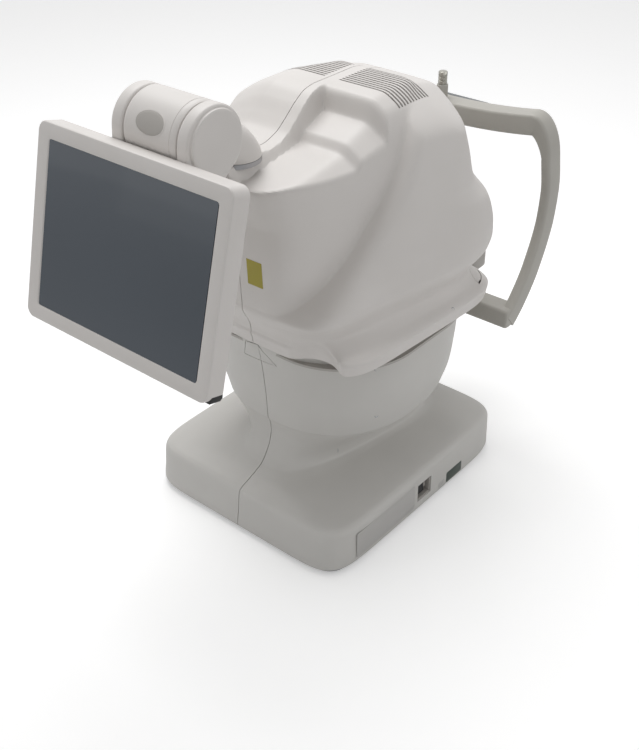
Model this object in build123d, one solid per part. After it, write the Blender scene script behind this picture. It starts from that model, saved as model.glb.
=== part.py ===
from build123d import *
import math
import os

# Table-top retinal imaging unit: base and pedestal, a motorised three-axis head, a touch
# monitor on a swivelling and tilting arm, and a head rest with a chin rest for the patient.
# Millimetres. +X is the operator's right, +Y points to the patient, +Z is up. The model is
# drawn about the middle of the base and moved at the end to the middle of the footprint.

# ---------------------------------------------------------------- base
WALL = 3.0                # moulded covers
SEAM = 0.5                # visible gap between two covers
FOOT_H = 6.0
FOOT_R = 15.0
BASE_HALF_X = 150.0
BASE_REAR = -178.0        # operator side
BASE_FRONT = 169.0        # patient side
BASE_CORNER_R = 30.0
BASE_EDGE_Z = 60.0        # where the side wall ends and the top starts
BASE_TOP_Z = 132.0        # where the pedestal covers start
PLATE_T = 3.0             # steel floor plate

# ---------------------------------------------------------------- pedestal
CUP_TOP_Z = 247.0
CUP_HALF_X = 146.0
CUP_REAR = -129.0         # rear, front and corners of the bowl at the deck
CUP_FRONT = 143.3
CUP_R = 102.0
DECK_CLEAR = 4.0          # from the deck's edge to the covers at the sides
CUP_LOW_HALF_X = 121.0    # bowl and foot at the seam between them
WAIST_HALF_X = 92.0       # narrowest part of the foot
DECK_Z = 236.0
DECK_T = 3.0
DECK_OPEN_X = 96.0        # half size of the opening that the lift guides move in
DECK_OPEN_Y = 52.0
COLUMN_HALF = 62.0
COLUMN_TOP_Z = 152.0

# ---------------------------------------------------------------- stages under the head
RUN = 0.05                # radial running clearance of shafts in bores
RAIL_W = 12.0
RAIL_H = 10.0
STAGE_T = 7.0
SCREW_R = 4.0
MOTOR = 35.0              # stepper motor body

# ---------------------------------------------------------------- head
HEAD_GAP = 4.0            # head skirt above the cup, head at its lowest
HEAD_Z = CUP_TOP_Z + HEAD_GAP
SHOULDER_Z = 470.0        # rear shelf that carries the monitor arm
HEAD_TOP_Z = 515.0
HEAD_SPLIT_Y = 104.0      # front cover starts here
FRONT_COVER_Z = 420.0
AXIS_Z = 352.0            # optical axis, head at its lowest
LENS_R = 21.0
OBJECTIVE_Y = 168.0       # face of the objective
VENT_COUNT = 11
VENT_PITCH = 5.0
VENT_W = 2.2
VENT_LENGTH = 58.0
VENT_START_X = 12.0

# ---------------------------------------------------------------- monitor arm
ARM_Y = -148.0            # swivel axis
SWIVEL_R = 27.0
BARREL_Y = -222.0         # tilt axis
BARREL_Z = 523.0
BARREL_R = 36.0
BARREL_HALF = 35.0
TILT_PIN_R = 5.0
CHEEK_T = 15.0
CHEEK_GAP = 0.8

# ---------------------------------------------------------------- monitor
SCREEN_Y = -306.0         # centre of the bezel's face
SCREEN_Z = 425.0
SCREEN_TILT = 15.1        # leans back, degrees
MONITOR_W = 258.0
MONITOR_H = 200.0
BEZEL_T = 13.0
REAR_T = 19.0
OPENING_W = 225.0
OPENING_H = 169.0
GLASS_T = 2.0
MONITOR_R = 10.0

# ---------------------------------------------------------------- head rest and chin rest
POST_X = 150.0            # middle of each post
POST_T = 13.0
BAR_Z = 405.0             # underside of the top bar, at its middle
BAR_H = 26.0
BAR_Y = 206.0             # operator side of the top bar
BAR_D = 26.0
LOW_BAR_Y = 164.0
LOW_BAR_Z = 188.0
LOW_BAR_D = 28.0
LOW_BAR_H = 26.0
CHIN_Y = 232.0
CHIN_ROD_R = 8.0

os.makedirs("parts", exist_ok=True)
nodes = {}


def add(name, *solids):
    """Keeps one node: its solids, each a separate closed piece."""
    kept = []
    for s in solids:
        kept.extend(s.solids())
    nodes[name] = kept


def block(x0, x1, y0, y1, z0, z1):
    """Box between two corners."""
    return Pos((x0 + x1) / 2, (y0 + y1) / 2, (z0 + z1) / 2) * Box(x1 - x0, y1 - y0, z1 - z0)


def rod_x(x0, x1, y, z, r):
    return Pos((x0 + x1) / 2, y, z) * Rot(0, 90, 0) * Cylinder(r, x1 - x0)


def rod_y(x, y0, y1, z, r):
    return Pos(x, (y0 + y1) / 2, z) * Rot(90, 0, 0) * Cylinder(r, y1 - y0)


def rod_z(x, y, z0, z1, r):
    return Pos(x, y, (z0 + z1) / 2) * Cylinder(r, z1 - z0)


def outline(z, half_x, rear, front, r, rear_share=1.0):
    """Rounded outline at height z; rear_share is its width at the rear over that at the front."""
    if rear_share == 1.0:
        return Pos(0, (rear + front) / 2, z) * RectangleRounded(2 * half_x, front - rear, r)
    rear_x = half_x * rear_share
    corners = Polygon((-rear_x, rear), (rear_x, rear), (half_x, front), (-half_x, front), align=None)
    return Pos(0, 0, z) * fillet(corners.vertices(), r)


def tower(sections, inset=0.0):
    """Solid through a stack of (z, half_x, rear, front, r) outlines, all set in by inset."""
    faces = [
        outline(z, hx - inset, rear + inset, front - inset, max(r - inset, 3.0), *share)
        for z, hx, rear, front, r, *share in sections
    ]
    return loft(faces, ruled=True)


def shell(sections, wall, roof):
    """Hollow tower, open below; roof is the thickness left at the top, or 0 for an open top."""
    hollow = [list(s) for s in sections]
    hollow[0][0] -= 1.0
    if roof:
        hollow[-1][0] -= roof
    else:
        hollow[-1][0] += 1.0
    return tower(sections) - tower(hollow, wall)


def half(solid, side, reach=400.0):
    """The part of a solid on one side of the middle seam: side is -1 or 1."""
    x0, x1 = (SEAM / 2, reach) if side > 0 else (-reach, -SEAM / 2)
    return solid & block(x0, x1, -reach, reach, -10, 700)


# ================================================================= base
base_sections = [
    (FOOT_H, BASE_HALF_X, BASE_REAR, BASE_FRONT, BASE_CORNER_R),
    (BASE_EDGE_Z - 4, BASE_HALF_X, BASE_REAR + 6, BASE_FRONT - 2, BASE_CORNER_R),
    (BASE_EDGE_Z, BASE_HALF_X - 5, BASE_REAR + 11, BASE_FRONT - 6, BASE_CORNER_R - 4),
    (BASE_EDGE_Z + 6, 120, -153, 147, 60),
    (BASE_EDGE_Z + 13, 96, -134, 126, 70),
    (BASE_EDGE_Z + 26, WAIST_HALF_X, -122, 119, 80),
    (BASE_TOP_Z - 30, 99, -113.5, 120, 88),
    (BASE_TOP_Z, CUP_LOW_HALF_X, -115, 134, 100),
]
base_shell = shell(base_sections, WALL, 0)

# switch recess on the operator's right; data ports and inlet on the left
RECESS = (-16.0, 12.0, 18.0, 43.0)      # y and z limits of the switch recess
RECESS_DEPTH = 14.0
PORTS = (29.0, 43.0, 12.0, 26.0)
INLET = (60.0, 88.0, 16.0, 38.0)
recess_hole = block(BASE_HALF_X - 8, BASE_HALF_X + 5, RECESS[0], RECESS[1], RECESS[2], RECESS[3])
ports_hole = block(-BASE_HALF_X - 5, -BASE_HALF_X + 8, PORTS[0], PORTS[1], PORTS[2], PORTS[3])
inlet_hole = block(-BASE_HALF_X - 5, -BASE_HALF_X + 8, INLET[0], INLET[1], INLET[2], INLET[3])
base_shell -= recess_hole + ports_hole + inlet_hole
add("base_cover_left", half(base_shell, -1))
add("base_cover_right", half(base_shell, 1))

floor_plate = extrude(
    outline(FOOT_H, BASE_HALF_X - 5, BASE_REAR + 5, BASE_FRONT - 5, BASE_CORNER_R - 5), PLATE_T
)
FOOT_PLACES = [
    (sx * (BASE_HALF_X - 32), y)
    for sx in (-1, 1)
    for y in (BASE_REAR + 34, BASE_FRONT - 32)
]
plate_top = FOOT_H + PLATE_T
for x, y in ((78, -134), (122, -36), (78, -36), (122, -134), (-54, 82), (54, 82), (-54, 124), (54, 124)):
    floor_plate += rod_z(x, y, plate_top, plate_top + 6, 3)
add("base_plate", floor_plate)
add("rubber_feet", *[rod_z(x, y, 0, FOOT_H, FOOT_R) for x, y in FOOT_PLACES])

cup_sections = [
    (BASE_TOP_Z + SEAM, CUP_LOW_HALF_X, -115, 134, 100),
    (165, 131, -118, 139, 104),
    (205, 138, -124, 142, 104),
    (DECK_Z + 2, CUP_HALF_X - 1.5, CUP_REAR - 0.5, CUP_FRONT + 0.7, CUP_R),
    (CUP_TOP_Z, CUP_HALF_X, CUP_REAR - 1.5, CUP_FRONT + 1.7, CUP_R),
]
cup_shell = shell(cup_sections, WALL, 0)

# service panel in the operator face of the pedestal: four sides, wide below, leaning to the left
panel_face = Polygon((-27, 217), (22, 220), (-2, 240.5), (-20, 238), align=None)
panel_tool = Pos(0, -128, 0) * extrude(Plane.XZ * panel_face, 30, both=True)
service_panel = cup_shell & panel_tool
panel_gap = Pos(0, -128, 0) * extrude(Plane.XZ * offset(panel_face, SEAM), 30, both=True)
cup_shell -= panel_gap
add("service_panel", service_panel)
add("pedestal_cover_left", half(cup_shell, -1))
add("pedestal_cover_right", half(cup_shell, 1))

deck_outline = outline(
    DECK_Z, CUP_HALF_X - WALL - DECK_CLEAR, CUP_REAR + WALL, CUP_FRONT - WALL, CUP_R - DECK_CLEAR
)
deck = extrude(deck_outline, DECK_T)
deck -= block(-DECK_OPEN_X, DECK_OPEN_X, -DECK_OPEN_Y, DECK_OPEN_Y, DECK_Z - 1, DECK_Z + DECK_T + 1)
add("cup_deck", deck)

# ================================================================= frame and electrics in the base
column = block(-COLUMN_HALF, COLUMN_HALF, -COLUMN_HALF, COLUMN_HALF, plate_top, COLUMN_TOP_Z)
column -= block(
    -COLUMN_HALF + 5, COLUMN_HALF - 5, -COLUMN_HALF + 5, COLUMN_HALF - 5,
    plate_top - 1, COLUMN_TOP_Z - 8,
)
column += block(-80, 80, -80, 80, COLUMN_TOP_Z - 8, COLUMN_TOP_Z)
add("power_supply", block(-126, -66, -80, 56, plate_top, plate_top + 38))
add(
    "control_boards",
    block(72, 128, -140, -30, plate_top + 6, plate_top + 8),
    block(-60, 60, 76, 130, plate_top + 6, plate_top + 8),
)

wall_x = BASE_HALF_X
switch_cup = block(
    wall_x - RECESS_DEPTH, wall_x - 1.5, RECESS[0] + 0.3, RECESS[1] - 0.3, RECESS[2] + 0.3, RECESS[3] - 0.3
)
switch_cup -= block(
    wall_x - RECESS_DEPTH + 2, wall_x + 1, RECESS[0] + 2, RECESS[1] - 2, RECESS[2] + 2, RECESS[3] - 2
)
ROCKER_Y = (RECESS[0] + RECESS[1]) / 2
ROCKER_Z = (RECESS[2] + RECESS[3]) / 2
ROCKER_X = wall_x - RECESS_DEPTH + 6
ROCKER_HALF_Y = 5.5
ROCKER_HALF_Z = 8.0
ROCKER_PIN_R = 1.5
for s in (-1, 1):
    lug = block(
        wall_x - RECESS_DEPTH + 2, ROCKER_X + 2.5,
        ROCKER_Y + s * (ROCKER_HALF_Y + 0.4) if s > 0 else ROCKER_Y - ROCKER_HALF_Y - 3.4,
        ROCKER_Y + ROCKER_HALF_Y + 3.4 if s > 0 else ROCKER_Y - ROCKER_HALF_Y - 0.4,
        ROCKER_Z - 3, ROCKER_Z + 3,
    )
    switch_cup += lug
switch_cup -= rod_y(ROCKER_X, ROCKER_Y - 12, ROCKER_Y + 12, ROCKER_Z, ROCKER_PIN_R + RUN)
add("switch_housing", switch_cup)
rocker = Pos(ROCKER_X, ROCKER_Y, ROCKER_Z) * Rot(90, 0, 0) * extrude(
    Polygon(
        (-1.6, 0), (-1.0, ROCKER_HALF_Z), (3.5, ROCKER_HALF_Z), (2.2, 0),
        (3.5, -ROCKER_HALF_Z), (-1.0, -ROCKER_HALF_Z), align=None,
    ),
    ROCKER_HALF_Y, both=True,
)
rocker += rod_y(ROCKER_X, ROCKER_Y - ROCKER_HALF_Y - 3, ROCKER_Y + ROCKER_HALF_Y + 3, ROCKER_Z, ROCKER_PIN_R)
add("power_rocker", rocker)


def socket_in(limits, depth, hole):
    """A plain socket body let into the wall, with a blind mouth."""
    y0, y1, z0, z1 = limits
    body = block(wall_x - depth, wall_x - 1.8, y0 + 0.3, y1 - 0.3, z0 + 0.3, z1 - 0.3)
    return body - block(wall_x - depth + 3, wall_x, y0 + hole, y1 - hole, z0 + hole, z1 - hole)


add("data_ports", mirror(socket_in(PORTS, 12, 3.0), about=Plane.YZ))
inlet = socket_in(INLET, 20, 3.0)
inlet_mid_y = (INLET[0] + INLET[1]) / 2
inlet_mid_z = (INLET[2] + INLET[3]) / 2
for dy, dz in ((-7, -2), (0, 3), (7, -2)):
    inlet += block(
        wall_x - 18, wall_x - 6, inlet_mid_y + dy - 1, inlet_mid_y + dy + 1,
        inlet_mid_z + dz - 2, inlet_mid_z + dz + 2,
    )
add("power_inlet", mirror(inlet, about=Plane.YZ))

# ================================================================= fixed Y rails and Y drive
RAIL_X = 58.0
y_rail_z = COLUMN_TOP_Z
add(
    "y_rails",
    *[
        block(s * RAIL_X - RAIL_W / 2, s * RAIL_X + RAIL_W / 2, -78, 78, y_rail_z, y_rail_z + RAIL_H)
        for s in (-1, 1)
    ],
)
y_screw_z = y_rail_z + RAIL_H
y_bearing = block(-12, 12, -78, -72, y_rail_z, y_screw_z + 5.5)
y_bearing -= rod_y(0, -90, -60, y_screw_z, SCREW_R + RUN)
column += y_bearing
add("column_frame", column)
y_motor = block(-MOTOR / 2, MOTOR / 2, 80, 80 + 34, y_screw_z - MOTOR / 2, y_screw_z + MOTOR / 2)
y_motor += block(-14, 14, 73, 80, y_rail_z, y_screw_z + 5.5)
y_motor -= rod_y(0, 70, 100, y_screw_z, SCREW_R + RUN)
add("y_motor", y_motor)
add("y_leadscrew", rod_y(0, -77, 98, y_screw_z, SCREW_R))

# ================================================================= Y carriage with the X rails
BLOCK_L = 26.0
slide_gap = 0.3
y_plate_z = y_rail_z + RAIL_H + 6


def rail_block(length, along_x):
    """Bearing block that straddles a rail whose top is at z = 0."""
    b = block(-13, 13, -length / 2, length / 2, -RAIL_H + 2, 6)
    b -= block(-RAIL_W / 2 - slide_gap, RAIL_W / 2 + slide_gap, -length, length, -RAIL_H, slide_gap)
    return Rot(0, 0, 90) * b if along_x else b


y_plate = block(-78, 78, -50, 50, y_plate_z, y_plate_z + STAGE_T)
for s in (-1, 1):
    for t in (-1, 1):
        y_plate += Pos(s * RAIL_X, t * 34, y_rail_z + RAIL_H) * rail_block(BLOCK_L, False)
y_nut = block(-10, 10, -9, 9, y_screw_z - 7, y_plate_z)
y_nut -= rod_y(0, -20, 20, y_screw_z, SCREW_R + RUN)
y_plate += y_nut
x_rail_z = y_plate_z + STAGE_T
RAIL_Y = 38.0
add(
    "x_rails",
    *[
        block(-86, 86, s * RAIL_Y - RAIL_W / 2, s * RAIL_Y + RAIL_W / 2, x_rail_z, x_rail_z + RAIL_H)
        for s in (-1, 1)
    ],
)
x_screw_z = x_rail_z + RAIL_H
x_bearing = block(-86, -76, -12, 12, x_rail_z, x_screw_z + 5.5)
x_bearing -= rod_x(-90, -70, 0, x_screw_z, SCREW_R + RUN)
add("y_carriage", y_plate + x_bearing)
x_motor = block(80, 101, -MOTOR / 2, MOTOR / 2, x_screw_z - 12, x_screw_z + 12)
x_motor -= rod_x(78, 90, 0, x_screw_z, SCREW_R + RUN)
add("x_motor", x_motor)
add("x_leadscrew", rod_x(-85, 88, 0, x_screw_z, SCREW_R))

# ================================================================= X carriage with the lift
x_plate_z = x_rail_z + RAIL_H + 6
x_plate = block(-34, 34, -50, 50, x_plate_z, x_plate_z + STAGE_T)
for s in (-1, 1):
    for t in (-1, 1):
        x_plate += Pos(t * 16, s * RAIL_Y, x_rail_z + RAIL_H) * rail_block(BLOCK_L, True)
GUIDE_X = 28.0
GUIDE_Y = 20.0
GUIDE_R = 5.0
BENCH_Z = AXIS_Z - 28     # top of the bench, above the lift guides with the head at its lowest
BENCH_T = 8.0
GUIDE_TOP = BENCH_Z - BENCH_T - 2
Z_SCREW_TOP = GUIDE_TOP - 2
GUIDE_PLACES = [(sx * GUIDE_X, sy * GUIDE_Y) for sx in (-1, 1) for sy in (-1, 1)]
lift_z = x_plate_z + STAGE_T
x_nut = block(-9, 9, -9, 9, x_screw_z - 5.5, x_plate_z)
x_nut -= rod_x(-20, 20, 0, x_screw_z, SCREW_R + RUN)
add("x_carriage", x_plate + x_nut)
z_motor = block(-MOTOR / 2, MOTOR / 2, -MOTOR / 2, MOTOR / 2, lift_z, lift_z + 32)
z_motor -= rod_z(0, 0, lift_z + 0.5, lift_z + 40, SCREW_R + RUN)
add("z_motor", z_motor)
add("z_guides", *[rod_z(x, y, lift_z, GUIDE_TOP, GUIDE_R) for x, y in GUIDE_PLACES])
add("z_leadscrew", rod_z(0, 0, lift_z + 1, Z_SCREW_TOP, SCREW_R))

# ================================================================= head: frame and optics
PAN_Z = HEAD_Z + 6
PAN_T = 6.0
PAN_REAR = -104.0         # clear of the hollows in the rear corners of the covers
head_sections = [
    (HEAD_Z, 151, -134, 143, 46, 0.99),
    (HEAD_Z + 11, 156, -136, 146, 48, 0.98),
    (HEAD_Z + 16, 152, -136, 144, 46, 0.96),
    (284, 140, -138, 141, 46, 0.84),
    (330, 147, -144, 150, 54, 0.66),
    (380, 142, -150, 145, 52, 0.60),
    (FRONT_COVER_Z, 132, -160, 132, 48, 0.60),
    (455, 125, -174, 122, 42, 0.62),
    (SHOULDER_Z, 117, -172, 114, 36, 0.62),
]
hump_sections = [
    (SHOULDER_Z - 5, 112, -92, 108, 34, 0.78),
    (487, 108, -78, 107, 34, 0.78),
    (501, 84, -60, 96, 32, 0.86),
    (511, 56, -44, 66, 26, 0.9),
    (HEAD_TOP_Z, 42, -30, 44, 20, 0.94),
]
hump_hollow = [list(s) for s in hump_sections]
hump_hollow[0][0] -= 12
hump_hollow[-1][0] -= WALL
head_shell = tower(head_sections) + tower(hump_sections)
head_hollow = [list(s) for s in head_sections]
head_hollow[0][0] -= 1
head_hollow[-1][0] -= WALL
head_shell -= tower(head_hollow, WALL) + tower(hump_hollow, WALL)

# vents through the top, a row of slots along X on each side of the seam
VENT_REAR_Y = -2.0
for i in range(VENT_COUNT):
    y = VENT_REAR_Y + i * VENT_PITCH
    for s in (-1, 1):
        head_shell -= block(
            min(s * VENT_START_X, s * (VENT_START_X + VENT_LENGTH)),
            max(s * VENT_START_X, s * (VENT_START_X + VENT_LENGTH)),
            y, y + VENT_W, HEAD_TOP_Z - 30, HEAD_TOP_Z + 5,
        )

# round mouth for the objective and a window for the two front cameras
MOUTH_R = LENS_R + 7
head_shell -= rod_y(0, 100, 200, AXIS_Z, MOUTH_R)
front_tool = block(-200, 200, HEAD_SPLIT_Y, 300, HEAD_Z + 18, FRONT_COVER_Z)
front_gap = block(-200, 200, HEAD_SPLIT_Y - SEAM, 300, HEAD_Z + 18 - SEAM, FRONT_COVER_Z + SEAM)
front_cover = head_shell & front_tool
camera_holes = [rod_y(s * 46, 100, 200, AXIS_Z + 6, 7.5) for s in (-1, 1)]
for hole in camera_holes:
    front_cover -= hole
rear_shell = head_shell - front_gap
add("head_front_cover", front_cover)

pan = extrude(outline(PAN_Z, 132, PAN_REAR, 130, 40), PAN_T)
pan -= rod_z(0, 0, PAN_Z - 1, PAN_Z + PAN_T + 1, SCREW_R + 3)
for x, y in GUIDE_PLACES:
    pan -= rod_z(x, y, PAN_Z - 1, PAN_Z + PAN_T + 1, 9.0)
add("head_pan", pan)
bushes = []
for x, y in GUIDE_PLACES:
    bush = rod_z(x, y, PAN_Z, PAN_Z + 22, 9.0) + rod_z(x, y, PAN_Z + PAN_T, PAN_Z + PAN_T + 3, 12.0)
    bushes.append(bush - rod_z(x, y, PAN_Z - 1, PAN_Z + 30, GUIDE_R + RUN))
z_nut = rod_z(0, 0, PAN_Z + PAN_T, PAN_Z + PAN_T + 16, 11)
z_nut -= rod_z(0, 0, PAN_Z, PAN_Z + 40, SCREW_R + RUN)
add("lift_bushes", *bushes, z_nut)

bench = block(-70, 70, -100, 90, BENCH_Z - BENCH_T, BENCH_Z)
for x in (-68.5, 68.5):
    for y in (-93, 66):
        bench += rod_z(x, y, BENCH_Z - 1, AXIS_Z + 56, 3)
for sx in (-1, 1):
    bench += block(sx * 78 - 8, sx * 78 + 8, -100, 90, PAN_Z + PAN_T, BENCH_Z)
add("optical_bench", bench)
barrel_tube = rod_y(0, 40, OBJECTIVE_Y - 6, AXIS_Z, LENS_R + 4)
barrel_tube += rod_y(0, OBJECTIVE_Y - 16, OBJECTIVE_Y, AXIS_Z, LENS_R + 5)
barrel_tube -= rod_y(0, 30, OBJECTIVE_Y + 5, AXIS_Z, LENS_R)
add("objective_barrel", barrel_tube)
lens_blank = rod_y(0, OBJECTIVE_Y - 14, OBJECTIVE_Y - 4, AXIS_Z, LENS_R - 0.05)
lens_ball = Pos(0, OBJECTIVE_Y - 4 - 42, AXIS_Z) * Sphere(42.0)
add("objective_lens", lens_blank & lens_ball)
add(
    "optics_modules",
    block(-28, 28, -40, 40 - SEAM, BENCH_Z, AXIS_Z + 28),
    block(-64, -31, -88, 30, BENCH_Z, AXIS_Z + 24),
    block(31, 64, -88, 60, BENCH_Z, AXIS_Z + 30),
)
cameras = []
for s in (-1, 1):
    cam = rod_y(s * 46, 112, HEAD_SPLIT_Y + 40, AXIS_Z + 6, 6.8)
    cameras.append(cam + block(s * 46 - 10, s * 46 + 10, 92, 112, AXIS_Z - 6, AXIS_Z + 18))
add("front_cameras", *cameras)
add("head_board", block(-72, 72, -96, 70, AXIS_Z + 56, AXIS_Z + 58))

# cooling fan under the vents
FAN_Z = 452.0
FAN_HALF = 40.0
FAN_Y = 5.0
fan_frame = block(-FAN_HALF, FAN_HALF, FAN_Y - FAN_HALF, FAN_Y + FAN_HALF, FAN_Z, FAN_Z + 20)
fan_frame -= rod_z(0, FAN_Y, FAN_Z - 1, FAN_Z + 21, FAN_HALF - 2)
fan_frame += block(-FAN_HALF + 1, FAN_HALF - 1, FAN_Y - 4, FAN_Y + 4, FAN_Z, FAN_Z + 2)
fan_frame += rod_z(0, FAN_Y, FAN_Z, FAN_Z + 3, 14)
fan_frame += rod_z(0, FAN_Y, FAN_Z, FAN_Z + 14, 2)
for x in (-36.5, 36.5):
    for y in (FAN_Y - 36.5, FAN_Y + 36.5):
        fan_frame += rod_z(x, y, AXIS_Z + 58, FAN_Z, 3)
add("fan_frame", fan_frame)
rotor = rod_z(0, FAN_Y, FAN_Z + 3.6, FAN_Z + 18, 14)
for i in range(7):
    blade = Pos(24, 0, 0) * Rot(38, 0, 0) * Box(26, 1.6, 15)
    rotor += Pos(0, FAN_Y, FAN_Z + 11) * Rot(0, 0, 360 / 7 * i) * blade
rotor -= rod_z(0, FAN_Y, FAN_Z, FAN_Z + 14.5, 2 + RUN)
add("fan_rotor", rotor)

# ================================================================= swivel and arm
SWIVEL_BASE_Z = SHOULDER_Z
swivel_base = rod_z(0, ARM_Y, SWIVEL_BASE_Z, SWIVEL_BASE_Z + 5, SWIVEL_R)
swivel_base += rod_z(0, ARM_Y, SWIVEL_BASE_Z, SWIVEL_BASE_Z + 16, 8)
add("swivel_base", swivel_base)
turret = rod_z(0, ARM_Y, SWIVEL_BASE_Z + 5.4, SWIVEL_BASE_Z + 40, SWIVEL_R)
neck = Pos(0, (ARM_Y + BARREL_Y) / 2, BARREL_Z - 8) * Box(50, BARREL_Y * -1 + ARM_Y, 40)
arm = turret + neck + rod_x(-BARREL_HALF, BARREL_HALF, BARREL_Y, BARREL_Z, BARREL_R)
arm -= rod_z(0, ARM_Y, SWIVEL_BASE_Z + 1, SWIVEL_BASE_Z + 16.5, 8 + RUN)
arm -= rod_x(-60, 60, BARREL_Y, BARREL_Z, TILT_PIN_R + RUN)
CAP_ANGLE = 152.0         # where the oval cap sits round the barrel, from +Y up
cap_seat = Pos(0, BARREL_Y, BARREL_Z) * Rot(CAP_ANGLE - 90, 0, 0)
cap_body = cap_seat * Pos(0, 0, BARREL_R) * extrude(Ellipse(14, 8), 8, both=True)
cap_outer = rod_x(-20, 20, BARREL_Y, BARREL_Z, BARREL_R + 0.3)
cap_room = cap_seat * Pos(0, 0, BARREL_R) * extrude(Ellipse(14.6, 8.6), 8, both=True)
arm -= cap_room - rod_x(-20, 20, BARREL_Y, BARREL_Z, BARREL_R - 2.0)
add("monitor_arm", arm)
add("barrel_cap", (cap_body & cap_outer) - rod_x(-20, 20, BARREL_Y, BARREL_Z, BARREL_R - 2.0))

# shells that meet the swivel base
for s in (-1, 1):
    add("head_cover_left" if s < 0 else "head_cover_right", half(rear_shell, s))

# ================================================================= monitor
tilt = math.radians(SCREEN_TILT)
face = Plane(
    origin=(0, SCREEN_Y, SCREEN_Z),
    x_dir=(1, 0, 0),
    z_dir=(0, -math.cos(tilt), math.sin(tilt)),
)


def slab(w, h, r, z0, z1):
    """Rounded plate parallel to the screen, between two depths behind its face."""
    return face * (Pos(0, 0, -z1) * extrude(RectangleRounded(w, h, r), z1 - z0))


bezel = slab(MONITOR_W, MONITOR_H, MONITOR_R, 0, BEZEL_T)
bezel -= slab(OPENING_W, OPENING_H, 2, -1, BEZEL_T + 1)
bezel -= slab(MONITOR_W - 2 * WALL, MONITOR_H - 2 * WALL, MONITOR_R - WALL, 4, BEZEL_T + 1)
add("monitor_bezel", bezel)
add("touch_panel", slab(OPENING_W - 0.6, OPENING_H - 0.6, 1.5, 1.2, 1.2 + GLASS_T))
display_back = 1.2 + GLASS_T + 7
lcd_panel = slab(OPENING_W - 3, OPENING_H - 3, 1.5, 1.2 + GLASS_T, display_back)
lcd_board = slab(150, 100, 3, 16, 18)
add("display_module", lcd_panel, lcd_board)
MONITOR_T = BEZEL_T + REAR_T
rear = slab(MONITOR_W, MONITOR_H, MONITOR_R, BEZEL_T + SEAM, BEZEL_T + 8)
rear += face * loft(
    [
        Pos(0, 0, -BEZEL_T - 8) * RectangleRounded(MONITOR_W, MONITOR_H, MONITOR_R),
        Pos(0, 0, -MONITOR_T) * RectangleRounded(MONITOR_W - 26, MONITOR_H - 26, MONITOR_R),
    ],
    ruled=True,
)
rear -= slab(MONITOR_W - 2 * WALL, MONITOR_H - 2 * WALL, MONITOR_R - WALL, 0, BEZEL_T + 8)
rear -= slab(MONITOR_W - 34, MONITOR_H - 34, MONITOR_R - WALL, 0, MONITOR_T - WALL)
PLUG_W = 24.0
plug_tool = face * (
    Pos(MONITOR_W / 2 - PLUG_W / 2, -MONITOR_H / 2 + 3, -BEZEL_T - 4) * Box(PLUG_W, 14, 16)
)
corner = (bezel + rear) & plug_tool
add("corner_plug", corner)
nodes["monitor_bezel"] = (bezel - plug_tool).solids()
add("monitor_rear_cover", rear - plug_tool)

# bracket: a back plate on the rear cover and two cheeks that hold the tilt pin
CHEEK_X = BARREL_HALF + CHEEK_GAP
HUB_R = BARREL_R
back_y = SCREEN_Y + MONITOR_T * math.cos(tilt)
back_z = SCREEN_Z - MONITOR_T * math.sin(tilt)
up_y = math.sin(tilt)
up_z = math.cos(tilt)
foot_low = 30.0           # along the monitor's back, from its middle
foot_high = MONITOR_H / 2 - 14


def on_back(u, d):
    """Point on the monitor's back: u up the back, d out of it."""
    return (
        back_y + u * up_y + d * math.cos(tilt),
        back_z + u * up_z - d * math.sin(tilt),
    )


cheeks = []
caps = []
for s in (-1, 1):
    x0 = CHEEK_X if s > 0 else -CHEEK_X - CHEEK_T
    web = Pos(x0, 0, 0) * extrude(
        Plane.YZ * Polygon(
            on_back(foot_low, 0), on_back(foot_high, 0),
            (BARREL_Y - 8, BARREL_Z + HUB_R - 2), (BARREL_Y + 22, BARREL_Z - HUB_R + 9),
            align=None,
        ),
        CHEEK_T,
        dir=(1, 0, 0),
    )
    hub = rod_x(x0, x0 + CHEEK_T, BARREL_Y, BARREL_Z, HUB_R)
    cheeks.append(web + hub - rod_x(-80, 80, BARREL_Y, BARREL_Z, TILT_PIN_R))
    cap_x = x0 + CHEEK_T if s > 0 else x0 - 3
    caps.append(rod_x(cap_x, cap_x + 3, BARREL_Y, BARREL_Z, HUB_R - 3))
back_plate = slab(2 * (CHEEK_X + CHEEK_T), 0.5 * MONITOR_H, 6, MONITOR_T, MONITOR_T + 4)
back_plate = Pos(0, 8 * up_y, 8 * up_z) * back_plate
add("monitor_bracket", back_plate + cheeks[0] + cheeks[1])
add("hinge_caps", *caps)
PIN_HALF = CHEEK_X + CHEEK_T - 0.5
add("tilt_pin", rod_x(-PIN_HALF, PIN_HALF, BARREL_Y, BARREL_Z, TILT_PIN_R))

# ================================================================= head rest
def post_profile():
    """Side view of a post: it leans to the patient and bows forward, one even width."""
    return Spline((160, 201), (180, 214), (208, 252), (231, 312), (234, 345), (219, 436))


post_path = Plane.YZ * post_profile()
POST_D = 28.0
posts = []
for s in (-1, 1):
    start = Plane(origin=post_path @ 0, x_dir=(1, 0, 0), z_dir=post_path % 0)
    post = sweep(start * RectangleRounded(POST_T, POST_D, 3), path=post_path)
    posts.append(Pos(s * POST_X, 0, 0) * post)
outer_x = POST_X + POST_T / 2
low_bar = block(
    -outer_x, outer_x, LOW_BAR_Y - LOW_BAR_D / 2, LOW_BAR_Y + LOW_BAR_D / 2, LOW_BAR_Z, LOW_BAR_Z + LOW_BAR_H
)
bar_edge = Polyline((outer_x, BAR_Z + 26), (outer_x, BAR_Z + 38))
bar_edge += Polyline((-outer_x, BAR_Z + 26), (-outer_x, BAR_Z + 38))
bar_edge += ThreePointArc((-outer_x, BAR_Z + 38), (0, BAR_Z + BAR_H), (outer_x, BAR_Z + 38))
bar_edge += ThreePointArc((-outer_x, BAR_Z + 26), (0, BAR_Z), (outer_x, BAR_Z + 26))
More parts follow.
